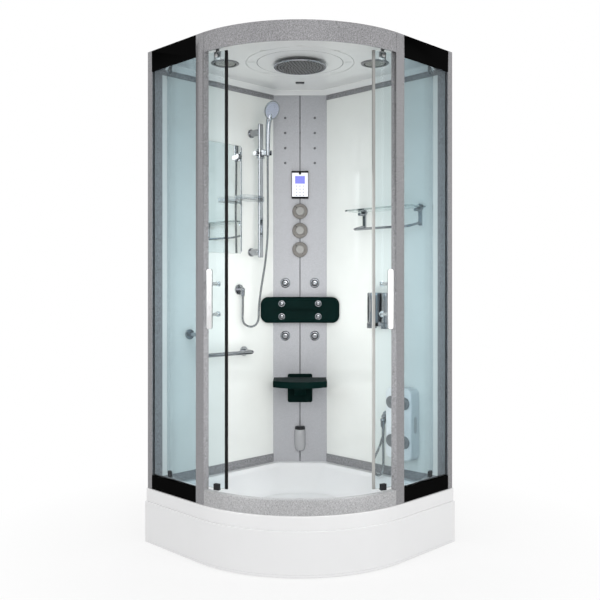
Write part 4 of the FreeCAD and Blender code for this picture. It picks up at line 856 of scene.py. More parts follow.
    @staticmethod
    def copy_node(name: str, node: str, bevel: float = 0.0, segments: int = 2) -> bpy.types.Object:
        """A copy of a CAD node with its doubles merged, its flats joined and its edges rounded.

        Args:
            name: the copy's name.
            node: the CAD node.
            bevel: width of the rounding.
            segments: facets of the rounding.

        Returns:
            The copy.
        """
        piece = place_object(name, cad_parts[node].data.copy())
        Bench.hold(piece)
        bpy.ops.object.mode_set(mode="EDIT")
        bpy.ops.mesh.select_all(action="SELECT")
        bpy.ops.mesh.remove_doubles(threshold=NODE_MERGE)
        bpy.ops.mesh.dissolve_limited(angle_limit=NODE_FLAT_ANGLE)
        bpy.ops.object.mode_set(mode="OBJECT")
        if piece.data.has_custom_normals:
            bpy.ops.mesh.customdata_custom_splitnormals_clear()
        if bevel:
            Bench.bevel(piece, bevel, segments)
        Bench.smooth(piece)
        return piece


def rounded_ring(
    place: Callable[[float, float], Vector],
    half_width: float,
    half_height: float,
    radius: float,
    steps: int = 8,
    sides: int = 1,
) -> list[Vector]:
    """Points of a rounded rectangle.

    Args:
        place: carries across and up distances from its middle to the row frame.
        half_width: half of its width.
        half_height: half of its height.
        radius: of its corners.
        steps: facets of each corner.
        sides: parts of each straight side.

    Returns:
        The outline's points in order.
    """
    flat = []
    for corner, (sx, sy) in enumerate(((1, 1), (-1, 1), (-1, -1), (1, -1))):
        for step in range(steps + 1):
            angle = math.pi / 2 * (corner + step / steps)
            across = sx * (half_width - radius) + radius * math.cos(angle)
            up = sy * (half_height - radius) + radius * math.sin(angle)
            flat.append((across, up))
    points = []
    for index, (across, up) in enumerate(flat):
        points.append(place(across, up))
        if index % (steps + 1) == steps:
            next_across, next_up = flat[(index + 1) % len(flat)]
            for part in range(1, sides):
                share = part / sides
                points.append(place(across + (next_across - across) * share, up + (next_up - up) * share))
    return points


class Crew:
    """Hands finished pieces over to the frame."""

    @staticmethod
    def coat(piece: bpy.types.Object, look: Look) -> None:
        """Gives a piece one finish all over."""
        piece.data.materials.clear()
        piece.data.materials.append(look.material())

    @staticmethod
    def deliver(
        piece: bpy.types.Object, look: Look, body: str = "root", instead_of: Iterable[str] = ()
    ) -> bpy.types.Object:
        """Finishes a piece, lets it ride on a body and hides the CAD nodes that it stands in for.

        Args:
            piece: the finished mesh or curve.
            look: its finish.
            body: the CAD body that carries it.
            instead_of: CAD nodes that it replaces.

        Returns:
            The piece.
        """
        Crew.coat(piece, look)
        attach(piece, body)
        for node in instead_of:
            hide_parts(node)
        LOG.info("%s rides on %s in %s", piece.name, body, look.name)
        return piece

    @staticmethod
    def paint(node: str, look: Look) -> None:
        """Gives a CAD node that stays in view its finish.

        Args:
            node: the CAD node.
            look: its finish.
        """
        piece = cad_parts[node]
        Crew.coat(piece, look)
        LOG.info("%s keeps its shape in %s", node, look.name)

    @staticmethod
    def refine(node: str, look: Look, body: str = "root", bevel: float = 0.0008, segments: int = 2) -> bpy.types.Object:
        """Stands a copy with rounded edges in a CAD node's place."""
        piece = Bench.copy_node(f"{node}_finished", node, bevel, segments)
        return Crew.deliver(piece, look, body, [node])


# ---------------------------------------------------------------------------------------------
# Studio
# ---------------------------------------------------------------------------------------------


@dataclass
class Studio:
    """Floor, soft light and the camera of the photograph."""

    camera_distance: float = 4.313
    camera_height: float = 1.170
    lens: float = 47.37
    horizon_shift: float = -14 / 600
    floor_size: float = 60.0
    floor_tone: float = 0.9
    floor_fade: tuple[float, float] = (0.5, 1.6)
    floor_near_white: float = 0.72
    sky: float = 0.58
    key_power: float = 48.0
    side_power: float = 20.0
    inside_power: float = 4.9
    ceiling_power: float = 1.1

    def camera(self) -> None:
        """Puts the camera on the corner's diagonal, level, with the photograph's lens."""
        data = bpy.data.cameras.new("camera")
        data.lens = self.lens
        data.shift_y = self.horizon_shift
        data.clip_end = 100
        camera = place_object("camera", data)
        camera.location = diagonal_point(0, self.camera_distance, self.camera_height)
        camera.rotation_euler = (math.radians(90), 0, math.radians(-45))
        bpy.context.scene.camera = camera

    def background(self) -> None:
        """A world that is white to the eye and to mirrors, and softer as a lamp."""
        world = bpy.data.worlds.new("studio")
        bpy.context.scene.world = world
        world.use_nodes = True
        tree = world.node_tree
        tree.nodes.clear()
        output = tree.nodes.new("ShaderNodeOutputWorld")
        shader = tree.nodes.new("ShaderNodeBackground")
        shader.inputs["Color"].default_value = (1, 1, 1, 1)
        path = tree.nodes.new("ShaderNodeLightPath")
        seen = self.seen(tree, path)
        level = tree.nodes.new("ShaderNodeMapRange")
        level.inputs["To Min"].default_value = self.sky
        level.inputs["To Max"].default_value = 1.0
        tree.links.new(seen, level.inputs["Value"])
        tree.links.new(level.outputs["Result"], shader.inputs["Strength"])
        tree.links.new(shader.outputs["Background"], output.inputs["Surface"])

    @staticmethod
    def seen(tree: bpy.types.NodeTree, path: bpy.types.Node) -> bpy.types.NodeSocket:
        """Tells the rays of the eye, direct, in a mirror or through glass, from those of lamps.

        Args:
            tree: the nodes.
            path: their Light Path node.

        Returns:
            A socket that is 1 on such rays and 0 on others.
        """
        total = path.outputs["Is Camera Ray"]
        for name in ("Is Glossy Ray", "Is Transmission Ray"):
            either = tree.nodes.new("ShaderNodeMath")
            either.operation = "MAXIMUM"
            tree.links.new(total, either.inputs[0])
            tree.links.new(path.outputs[name], either.inputs[1])
            total = either.outputs[0]
        return total

    def floor(self) -> None:
        """A pale floor that keeps the cabin's shadow and is white far away."""
        Bench.clear()
        bpy.ops.mesh.primitive_plane_add(size=self.floor_size, location=(0, 0, 0))
        plane = bpy.context.object
        plane.name = "floor"
        graph = Graph("studio_floor")
        plain = graph.add("ShaderNodeBsdfDiffuse", Color=(self.floor_tone, self.floor_tone, self.floor_tone, 1))
        white = graph.add("ShaderNodeEmission", Color=(1, 1, 1, 1), Strength=1.0)
        path = graph.add("ShaderNodeLightPath")
        seen = self.seen(graph.tree, path)
        distance = graph.add("ShaderNodeVectorMath", operation="LENGTH")
        graph.link(graph.coords, distance.inputs[0])
        near, far = self.floor_fade
        fade = graph.add(
            "ShaderNodeMapRange", From_Min=near, From_Max=far, To_Min=self.floor_near_white, To_Max=1.0
        )
        graph.link(distance.outputs["Value"], fade.inputs["Value"])
        share = graph.add("ShaderNodeMath", operation="MULTIPLY")
        graph.link(seen, share.inputs[0])
        graph.link(fade.outputs["Result"], share.inputs[1])
        mix = graph.add("ShaderNodeMixShader")
        graph.link(share.outputs[0], mix.inputs["Fac"])
        graph.link(plain.outputs["BSDF"], mix.inputs[1])
        graph.link(white.outputs["Emission"], mix.inputs[2])
        plane.data.materials.append(graph.surface(mix.outputs["Shader"]))

    def lamp(
        self, name: str, place: Vector, target: Vector, size: tuple[float, float], power: float
    ) -> bpy.types.Object:
        """Soft box at a place, turned to a target.

        Args:
            name: the lamp's name.
            place: where it hangs.
            target: the point that it faces.
            size: its width and height.
            power: in watts.

        Returns:
            The lamp.
        """
        data = bpy.data.lights.new(name, "AREA")
        data.shape = "RECTANGLE"
        data.size, data.size_y = size
        data.energy = power
        lamp = place_object(name, data)
        lamp.location = place
        lamp.rotation_mode = "QUATERNION"
        lamp.rotation_quaternion = (target - place).to_track_quat("-Z", "Y")
        return lamp

    def build(self) -> None:
        """Sets up the whole studio; the two lamps inside light the walls and are never seen."""
        bpy.context.scene.view_settings.view_transform = "Standard"
        self.camera()
        self.background()
        self.floor()
        middle = Vector((0, 0, 1.1))
        for name, place, size, power in (
            ("key", (0.5, 4.6, 2.3), (2.4, 2.0), self.key_power),
            ("left", (-3.0, 2.6, 2.4), (1.2, 2.4), self.side_power),
            ("right", (3.2, 2.2, 2.0), (1.2, 2.4), self.side_power),
            ("rear", (0.0, -2.6, 3.0), (2.4, 1.2), self.side_power),
        ):
            self.lamp(name, diagonal_point(*place), middle, size, power)
        inside = self.lamp(
            "inside", diagonal_point(0, 1.08, 1.0), diagonal_point(0, 0.3, 0.9), (0.6, 1.3), self.inside_power
        )
        ceiling = self.lamp(
            "ceiling", diagonal_point(0, 0.78, 0.85), diagonal_point(0, 0.70, 2.19), (0.6, 0.6), self.ceiling_power
        )
        for lamp in (inside, ceiling):
            lamp.visible_camera = False
            lamp.visible_glossy = False
            lamp.visible_transmission = False


# ---------------------------------------------------------------------------------------------
# Hoses
# ---------------------------------------------------------------------------------------------


@dataclass
class Hose:
    """A metal hose wound from a strip, along a smooth line from one nut to another."""

    name: str
    node: str
    route: Sequence[Vector]
    length: float
    diameter: float = 0.012
    pitch: float = 0.0032
    groove: float = 0.86
    slides_with: str = ""

    def line(self) -> list[Vector]:
        """Points of the smooth line that the route leads, half a winding apart.

        Returns:
            The points in order.
        """
        data = bpy.data.curves.new(f"{self.name}_route", "CURVE")
        data.dimensions = "3D"
        data.resolution_u = 40
        spline = data.splines.new("NURBS")
        spline.points.add(len(self.route) - 1)
        for place, point in zip(spline.points, self.route):
            place.co = (*point, 1)
        spline.order_u = 3
        spline.use_endpoint_u = True
        guide = place_object(f"{self.name}_route", data)
        bpy.context.view_layer.update()
        mesh = bpy.data.meshes.new_from_object(guide.evaluated_get(bpy.context.evaluated_depsgraph_get()))
        raw = [vertex.co.copy() for vertex in mesh.vertices]
        bpy.data.objects.remove(guide)
        bpy.data.meshes.remove(mesh)
        return self.evenly(raw)

    def evenly(self, raw: Sequence[Vector]) -> list[Vector]:
        """The same line with points at equal steps and its ends kept.

        Args:
            raw: the line's points.

        Returns:
            The new points.
        """
        runs = [0.0]
        for before, after in zip(raw, raw[1:]):
            runs.append(runs[-1] + (after - before).length)
        count = round(runs[-1] / (self.pitch / 2))
        points = []
        index = 0
        for step in range(count + 1):
            along = runs[-1] * step / count
            while index < len(raw) - 2 and runs[index + 1] < along:
                index += 1
            share = (along - runs[index]) / max(runs[index + 1] - runs[index], 1e-9)
            points.append(raw[index].lerp(raw[index + 1], min(1.0, share)))
        return points

    def build(self) -> None:
        points = self.line()
        data = bpy.data.curves.new(self.name, "CURVE")
        data.dimensions = "3D"
        data.bevel_depth = self.diameter / 2
        data.bevel_resolution = 3
        data.use_fill_caps = True
        spline = data.splines.new("POLY")
        spline.points.add(len(points) - 1)
        for index, (place, point) in enumerate(zip(spline.points, points)):
            place.co = (*point, 1)
            place.radius = self.groove if index % 2 else 1.0
        Bench.hold(place_object(self.name, data))
        bpy.ops.object.convert(target="MESH")
        piece = bpy.context.object
        Bench.smooth(piece, HOSE_SMOOTH_ANGLE)
        Crew.coat(piece, Look.HOSE)
        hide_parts(self.node)
        if self.slides_with:
            low, high = Vector(self.route[-1]), Vector(self.route[-1])
            high.z = self.route[0].z
            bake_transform(piece)
        else:
            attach(piece, "root")


@dataclass
class Hoses:
    """The hand shower's hose and the foot massage's hose, with their wall elbows."""

    hose_top: float = 1.818
    shower_line: Sequence[Point] = (
        (0.367, 0.138, 0.0),
        (0.367, 0.138, 0.108),
        (0.369, 0.142, 0.253),
        (0.367, 0.139, 0.403),
        (0.373, 0.128, 0.528),
        (0.381, 0.108, 0.643),
        (0.387, 0.093, 0.750),
        (0.386, 0.092, 0.835),
        (0.418, 0.068, 0.858),
        (0.452, 0.042, 0.835),
        (0.450, 0.044, 0.766),
        (0.450, 0.044, 0.700),
    )
    foot_line: Sequence[Point] = (
        (0.618, 0.040, 0.500),
        (0.618, 0.040, 0.460),
        (0.609, 0.046, 0.412),
        (0.591, 0.054, 0.365),
        (0.573, 0.061, 0.325),
        (0.564, 0.066, 0.270),
        (0.605, 0.074, 0.246),
        (0.646, 0.079, 0.270),
        (0.647, 0.079, 0.332),
        (0.645, 0.078, 0.395),
        (0.640, 0.075, 0.446),
        (0.640, 0.075, 0.490),
    )

    def build(self) -> None:
        """Makes both hoses and their elbows."""
        shower = [left_point(a, b, self.hose_top - drop) for a, b, drop in self.shower_line]
        foot = [right_point(a, b, z) for a, b, z in self.foot_line]
        Hose("shower_hose_line", "shower_hose", shower, 1.056, slides_with="slider").build()
        Hose("foot_hose_line", "foot_hose", foot, 0.543).build()
        Crew.refine("hose_outlets", Look.CHROME, bevel=0.0007)


# ---------------------------------------------------------------------------------------------
# Tray
# ---------------------------------------------------------------------------------------------


def rounded_polygon(points: Sequence[Vector], radii: Sequence[float], facets: Sequence[int]) -> list[Vector]:
    """Points of a closed outline whose corners are rounded.

    Args:
        points: the corners.
        radii: the radius at each corner.
        facets: the facets of each corner.

    Returns:
        The outline's points in order.
    """
    outline = []
    count = len(points)
    for index, corner in enumerate(points):
        back = (points[index - 1] - corner).normalized()
        ahead = (points[(index + 1) % count] - corner).normalized()
        turn = back.angle(ahead) / 2
        radius = radii[index]
        centre = corner + (back + ahead).normalized() * (radius / math.sin(turn))
        first = corner + back * (radius / math.tan(turn)) - centre
        last = corner + ahead * (radius / math.tan(turn)) - centre
        whole = first.angle(last)
        for step in range(facets[index] + 1):
            share = step / facets[index]
            start = math.sin((1 - share) * whole) / math.sin(whole)
            finish = math.sin(share * whole) / math.sin(whole)
            outline.append(centre + first * start + last * finish)
    return outline


@dataclass
class Tray:
    """Acrylic tray with its skirt, drain and base."""

    rim_inset: float = 0.007
    rim_low: float = 0.1892
    rim_cut: float = 0.0036
    rim_corner: float = 0.001
    skirt_top: float = 0.189
    skirt_stations: int = 62
    top: float = 0.247
    floor_z: float = 0.130
    acrylic: float = 0.006
    drain: float = 0.125
    mouth: tuple[float, float, float, float] = (0.062, 0.050, 0.225, 0.060)
    floor: tuple[float, float, float, float] = (0.130, 0.170, 0.330, 0.170)
    near_corner: float = 0.060
    near_growth: float = 0.03
    facets: tuple[int, ...] = (10, 10, 8, 56, 8)

    def ring(self, inset: float, back: float, cut: float, z: float, corner: float, near: float) -> list[Vector]:
        """Outline of the tray's plan at one height.

        Args:
            inset: distance from the front.
            back: distance from the walls.
            cut: where the slanted back meets the walls.
            z: height.
            corner: radius of the two corners at the back.
            near: radius of the two corners where the front meets the walls.

        Returns:
            The outline's points.
        """
        far = 2 * HALF - inset
        plan = ((back, cut), (cut, back), (far, back), (far, far), (back, far))
        points = [Vector((HALF - p, HALF - q, z)) for p, q in plan]
        return rounded_polygon(points, (corner, corner, near, CORNER_RADIUS - inset, near), self.facets)

    def outer(self, inset: float, z: float, back: float = SKIN) -> list[Vector]:
        """Outline of the rim, square against both walls."""
        return self.ring(inset, back, back + self.rim_cut, z, self.rim_corner, self.rim_corner)

    def basin(self, share: float, z: float, grow: float = 0.0) -> list[Vector]:
        """Outline of the basin at one height.

        Args:
            share: how far down from the mouth (0) to the floor (1).
            z: height.
            grow: distance outside the outline.

        Returns:
            The outline's points.
        """
        inset, back, cut, corner = (m + (f - m) * share for m, f in zip(self.mouth, self.floor))
        near = self.near_corner + self.near_growth * share
        return self.ring(inset - grow, back - grow, cut - grow, z, corner, near)

    def circle(self, radius: float, z: float) -> list[Vector]:
        """Circle round the drain with as many points as the outlines.

        Args:
            radius: of the circle.
            z: height.

        Returns:
            The circle's points.
        """
        centre = Vector((self.drain, self.drain, z))
        points = []
        for point in self.basin(1.0, z):
            points.append(centre + (point - centre).normalized() * radius)
        return points

    def shell(self) -> None:
        """Rim, basin and floor as one skin of even thickness."""
        top, low = self.top, self.floor_z
        rings = [
            self.outer(self.rim_inset, self.rim_low),
            self.outer(self.rim_inset, top - 0.0045),
            self.outer(self.rim_inset + 0.0013, top - 0.0013),
            self.outer(self.rim_inset + 0.0045, top),
            self.basin(0.0, top, 0.008),
            self.basin(0.0, top - 0.0008, 0.0035),
            self.basin(0.0, top - 0.0035, 0.0005),
        ]
        for share, drop in ((0.03, 0.010), (0.10, 0.024), (0.35, 0.052), (0.62, 0.082), (0.80, 0.102)):
            rings.append(self.basin(share, top - drop))
        for share, rise in ((0.88, 0.008), (0.94, 0.0035), (1.0, 0.001), (1.06, 0.0)):
            rings.append(self.basin(share, low + rise))
        under = low - self.acrylic
        rings += [self.circle(0.050, low - 0.0002), self.circle(0.0465, low - 0.003), self.circle(0.0465, under)]
        rings += [self.basin(1.0, under + 0.0006, self.acrylic), self.basin(0.0, top - 0.012, self.acrylic)]
        inner = self.rim_inset + self.acrylic
        rings += [self.outer(inner, z, self.acrylic) for z in (top - self.acrylic, self.rim_low + 0.002)]
        shell = Bench.loft("tray_shell", rings, closed=True)
        Crew.deliver(shell, Look.ACRYLIC, instead_of=["shower_tray"])

    def station(self, index: int, count: int, inset: float, z: float) -> Vector:
        """Point of the front's path: along one flat, round the curve and along the other flat.

        Args:
            index: number of the station.
            count: number of the last station.
            inset: distance inside the front.
            z: height.

        Returns:
            The station's point.
        """
        edge = HALF - inset
        if index == 0:
            return Vector((HALF - SKIN, -edge, z))
        if index == count:
            return Vector((-edge, HALF - SKIN, z))
        angle = math.radians(270 - 90 * (index - 1) / (count - 2))
        radius = CORNER_RADIUS - inset
        return Vector((ARC_CENTRE + radius * math.cos(angle), ARC_CENTRE + radius * math.sin(angle), z))

    def skirt(self) -> None:
        """Skirt with a rounded shoulder and a fine groove near the floor."""
        high = self.skirt_top
        profile = (
            (0.0030, 0.0040),
            (0.0008, 0.0040),
            (0.0000, 0.0050),
            (0.0000, 0.0125),
            (0.0014, 0.0132),
            (0.0014, 0.0142),
            (0.0000, 0.0150),
            (0.0000, high - 0.0028),
            (0.0009, high - 0.0008),
            (0.0030, high),
            (0.0140, high),
            (0.0140, high - 0.0030),
            (0.0030, high - 0.0030),
        )
        count = self.skirt_stations
        rings = [[self.station(index, count, inset, z) for inset, z in profile] for index in range(count + 1)]
        skirt = Bench.loft("tray_skirt", rings)
        Crew.deliver(skirt, Look.ACRYLIC, instead_of=["tray_apron"])

    def waste(self) -> None:
        """Domed drain cover with a groove round its rim."""
        base = Vector((self.drain, self.drain, self.floor_z))
        profile = (
            (0.0385, -0.010),
            (0.0415, -0.010),
            (0.0415, 0.0004),
            (0.0555, 0.0004),
            (0.0560, 0.0020),
            (0.0545, 0.0042),
            (0.0500, 0.0068),
            (0.0485, 0.0060),
            (0.0470, 0.0082),
            (0.0360, 0.0130),
            (0.0200, 0.0168),
            (0.0001, 0.0180),
        )
        dome = Bench.lathe("drain_dome", profile, base, UP, 56)
        Crew.deliver(dome, Look.GREY_PLASTIC, instead_of=["drain_cover"])
        Crew.refine("drain_trap", Look.DARK_PLASTIC, bevel=0.001)

    def build(self) -> None:
        """Makes the tray and what carries it."""
        self.shell()
        self.skirt()
        self.waste()
        Crew.refine("tray_frame", Look.STEEL, bevel=0.001)
        Crew.refine("tray_feet", Look.STEEL, bevel=0.0006)


# ---------------------------------------------------------------------------------------------
# Frame, glass and doors
# ---------------------------------------------------------------------------------------------


@dataclass
class Shell:
    """Aluminium frame, side panes and back walls."""

    def build(self) -> None:
        """Rounds the profiles' edges and gives the panes their glass."""
        # The bottom rail's lighter grey is painted light on the frame's own grey
        Crew.refine("bottom_rail", Look.SILL, bevel=0.0016, segments=3)
        Crew.refine("top_header", Look.FRAME, bevel=0.0012)
        Crew.refine("frame_posts", Look.FRAME, bevel=0.0014, segments=3)
        Crew.refine("side_rails", Look.BLACK, bevel=0.0010)
        Crew.refine("door_track", Look.STEEL, bevel=0.0005)
        Crew.refine("side_glass", Look.TINTED, bevel=0.0006)
        Crew.refine("glazing_seals", Look.RUBBER, bevel=0.0008)
        Crew.refine("back_panels", Look.PANEL, bevel=0.0004)
        Crew.refine("back_frames", Look.FRAME, bevel=0.0010)


@dataclass
class Door:
    """One sliding door with everything that rides on it."""

    hand: str
    mid_height: float = 1.0
    fitting_bevel: float = 0.0007

    def build(self) -> None:
        """Finishes the pane, its seal, its handle, its hangers and its rollers."""
        body = f"door_{self.hand}"
        seal = Look.RUBBER if self.hand == "left" else Look.PALE_SEAL
        Crew.refine(f"door_glass_{self.hand}", Look.CLEAR, body, bevel=0.0006)
        Crew.refine(f"door_seal_{self.hand}", seal, body, bevel=0.0012, segments=3)
        Crew.refine(f"door_handle_{self.hand}", Look.BAR, body, bevel=0.0016, segments=3)
        fittings = f"door_fittings_{self.hand}"
        hangers = Bench.copy_node(f"hangers_{self.hand}", fittings, self.fitting_bevel)
        Bench.keep_part(hangers, lambda place: place.z > self.mid_height)
        Crew.deliver(hangers, Look.STEEL, body, [fittings])
        guides = Bench.copy_node(f"guides_{self.hand}", fittings, self.fitting_bevel)
        Bench.keep_part(guides, lambda place: place.z < self.mid_height)
        Crew.deliver(guides, Look.DARK_PLASTIC, body)
        for place in ("front", "rear"):
            name = f"{place}_roller_{self.hand}"
            Crew.refine(name, Look.GREY_PLASTIC, name, bevel=0.0009, segments=3)


# ---------------------------------------------------------------------------------------------
# Ceiling
# ---------------------------------------------------------------------------------------------


@dataclass
class Ceiling:
    """Moulded ceiling with its rings, speakers, air grille and overhead shower."""

    z: float = 2.190
    shower: float = 0.008
    spray_z: float = 2.169
    inner_ring: float = 0.197
    outer_ring: float = 0.247
    speaker_u: float = 0.343
    row_d: float = 0.492 * math.sqrt(2)
    grille_d: float = 0.354
    slat_pitch: float = 0.0056
    nozzle_rings: int = 7
    nozzle_pitch: float = 0.015
    cornice_wall: float = 0.0163
    cornice_column: float = 0.1584
    cornice_end: float = 0.905
    slots: Sequence[tuple[float, float]] = (
        (0.0, 0.262),
        (0.160, 0.196),
        (-0.160, 0.196),
        (0.222, 0.020),
        (-0.222, 0.020),
        (0.158, -0.160),
        (-0.158, -0.160),
    )

    def cornice(self) -> None:
        """White moulding along both walls and across the column."""
        wall, column = self.cornice_wall, self.cornice_column
        profile = (
            (0.000, -0.0004),
            (0.000, -0.0160),
            (0.003, -0.0185),
            (0.009, -0.0180),
            (0.014, -0.0130),
            (0.024, -0.0105),
            (0.034, -0.0050),
            (0.044, -0.0030),
            (0.046, -0.0004),
        )
        reach = math.sqrt(2)
        rings = []
        for corner in range(4):
            ring = []
            for off, rise in profile:
                z = self.z + rise
                if corner in (0, 3):
                    point = left_point(self.cornice_end, wall + off, z)
                else:
                    d = column + off
                    point = diagonal_point(reach * (wall + off) - d, d, z)
                ring.append(mirrored(point) if corner > 1 else point)
            rings.append(ring)
        Crew.deliver(Bench.loft("cornice", rings), Look.CEILING)

    def rings(self) -> None:
        """Painted shadow lines in the two ring grooves, and painted shade in the small slots between them."""
        centre = Vector((self.shower, self.shower, self.z))
        for name, radius, half_width in (("inner", self.inner_ring, 0.0014), ("outer", self.outer_ring, 0.0008)):
            profile = (
                (radius - half_width, 0.0002),
                (radius + half_width, 0.0002),
                (radius + half_width, 0.0012),
                (radius - half_width, 0.0012),
                (radius - half_width, 0.0002),
            )
            line = Bench.lathe(f"{name}_ring_line", profile, centre, UP, 96)
            # The inner groove's painted shadow line is drawn in the dark grey moulding
            Crew.deliver(line, Look.GREY_PLASTIC if name == "inner" else Look.SHADE_LINE)
        parts = []
        for u, d in self.slots:
            middle = (u, self.row_d + d)
            ring = rounded_ring(
                lambda across, along, m=middle: diagonal_point(m[0] + across, m[1] + along, self.z - 0.0008),
                half_width=0.014,
                half_height=0.004,
                radius=0.0039,
                steps=5,
            )
            parts.append(Bench.plate("slot", ring, Vector((0, 0, 0.0009)), 0.0003))
        Crew.deliver(Bench.join("ceiling_slots", parts), Look.SHADE_LINE)

    def overhead(self) -> None:
        """Round spray plate with a bright rim and rings of rubber nozzles."""
        base = Vector((self.shower, self.shower, self.spray_z))
        rim = (
            (0.1130, 0.0012),
            (0.1160, 0.0002),
            (0.1190, 0.0004),
            (0.1210, 0.0024),
            (0.1210, 0.0060),
            (0.1170, 0.0084),
            (0.0300, 0.0110),
            (0.0150, 0.0140),
            (0.0150, 0.0205),
            (0.0001, 0.0205),
        )
        Crew.deliver(Bench.lathe("overhead_rim", rim, base, UP, 72), Look.CHROME, instead_of=["overhead_shower"])
        face = ((0.0001, 0.0006), (0.1134, 0.0012), (0.1134, 0.0030), (0.0001, 0.0030))
        Crew.deliver(Bench.lathe("overhead_face", face, base, UP, 72), Look.SPRAY_PLATE)
        nozzle = Bench.lathe("nozzle", ((0.0028, 0.0), (0.0024, 0.0022), (0.0001, 0.0026)), Vector(), -UP, 8)
        moves = []
        for ring in range(1, self.nozzle_rings + 1):
            for x, y in on_circle(self.nozzle_pitch * ring, 6 * ring, 0.5 * (ring % 2)):
                moves.append(Matrix.Translation(base + Vector((x, y, 0.0010))))
        Crew.deliver(Bench.repeat("overhead_nozzles", nozzle, moves), Look.NOZZLE)

    def speakers(self) -> None:
        """Speaker rings with perforated plates, and the slatted air grille."""
        bezel = (
            (0.0510, 0.0000),
            (0.0510, -0.0042),
            (0.0535, -0.0052),
            (0.0590, -0.0050),
            (0.0635, -0.0030),
            (0.0640, -0.0004),
            (0.0640, 0.0000),
            (0.0510, 0.0000),
        )
        plate = ((0.0001, -0.0042), (0.0300, -0.0040), (0.0455, -0.0026), (0.0455, -0.0004), (0.0001, -0.0004))
        trim = ((0.0455, -0.0004), (0.0455, -0.0018), (0.0512, -0.0018), (0.0512, -0.0004), (0.0455, -0.0004))
        bezels, plates, trims = [], [], []
        for u in (-self.speaker_u, self.speaker_u):
            base = diagonal_point(u, self.row_d, self.z)
            bezels.append(Bench.lathe("bezel", bezel, base, UP, 56))
            plates.append(Bench.lathe("plate", plate, base, UP, 56))
            trims.append(Bench.lathe("trim", trim, base, UP, 56))
        Crew.deliver(Bench.join("speaker_bezels", bezels), Look.GREY_PLASTIC, instead_of=["ceiling_grilles"])
        Crew.deliver(Bench.join("speaker_plates", plates), Look.PERFORATED)
        Crew.deliver(Bench.join("speaker_trims", trims), Look.DARK_PLASTIC)
        ring = rounded_ring(
            lambda across, along: diagonal_point(across, self.grille_d + along, self.z - 0.004),
            half_width=0.022,
            half_height=0.013,
            radius=0.003,
            steps=4,
        )
        Crew.deliver(Bench.plate("air_grille", ring, Vector((0, 0, 0.0038)), 0.0008), Look.DARK_PLASTIC)
        slats = []
        for step in range(4):
            middle = self.grille_d + self.slat_pitch * (step - 1.5)
            ring = rounded_ring(
                lambda across, deep, d=middle: diagonal_point(across, d + deep, self.z - 0.0048),
                half_width=0.0185,
                half_height=0.0012,
                radius=0.001,
                steps=3,
            )
            slats.append(Bench.plate("slat", ring, Vector((0, 0, 0.0012))))
        Crew.deliver(Bench.join("air_slats", slats), Look.GREY_PLASTIC)

    def build(self) -> None:
        """Makes everything overhead."""
        Crew.refine("ceiling", Look.CEILING, bevel=0.0008)
        self.cornice()
        self.rings()
        self.overhead()
        self.speakers()


# ---------------------------------------------------------------------------------------------
# Column
# ---------------------------------------------------------------------------------------------


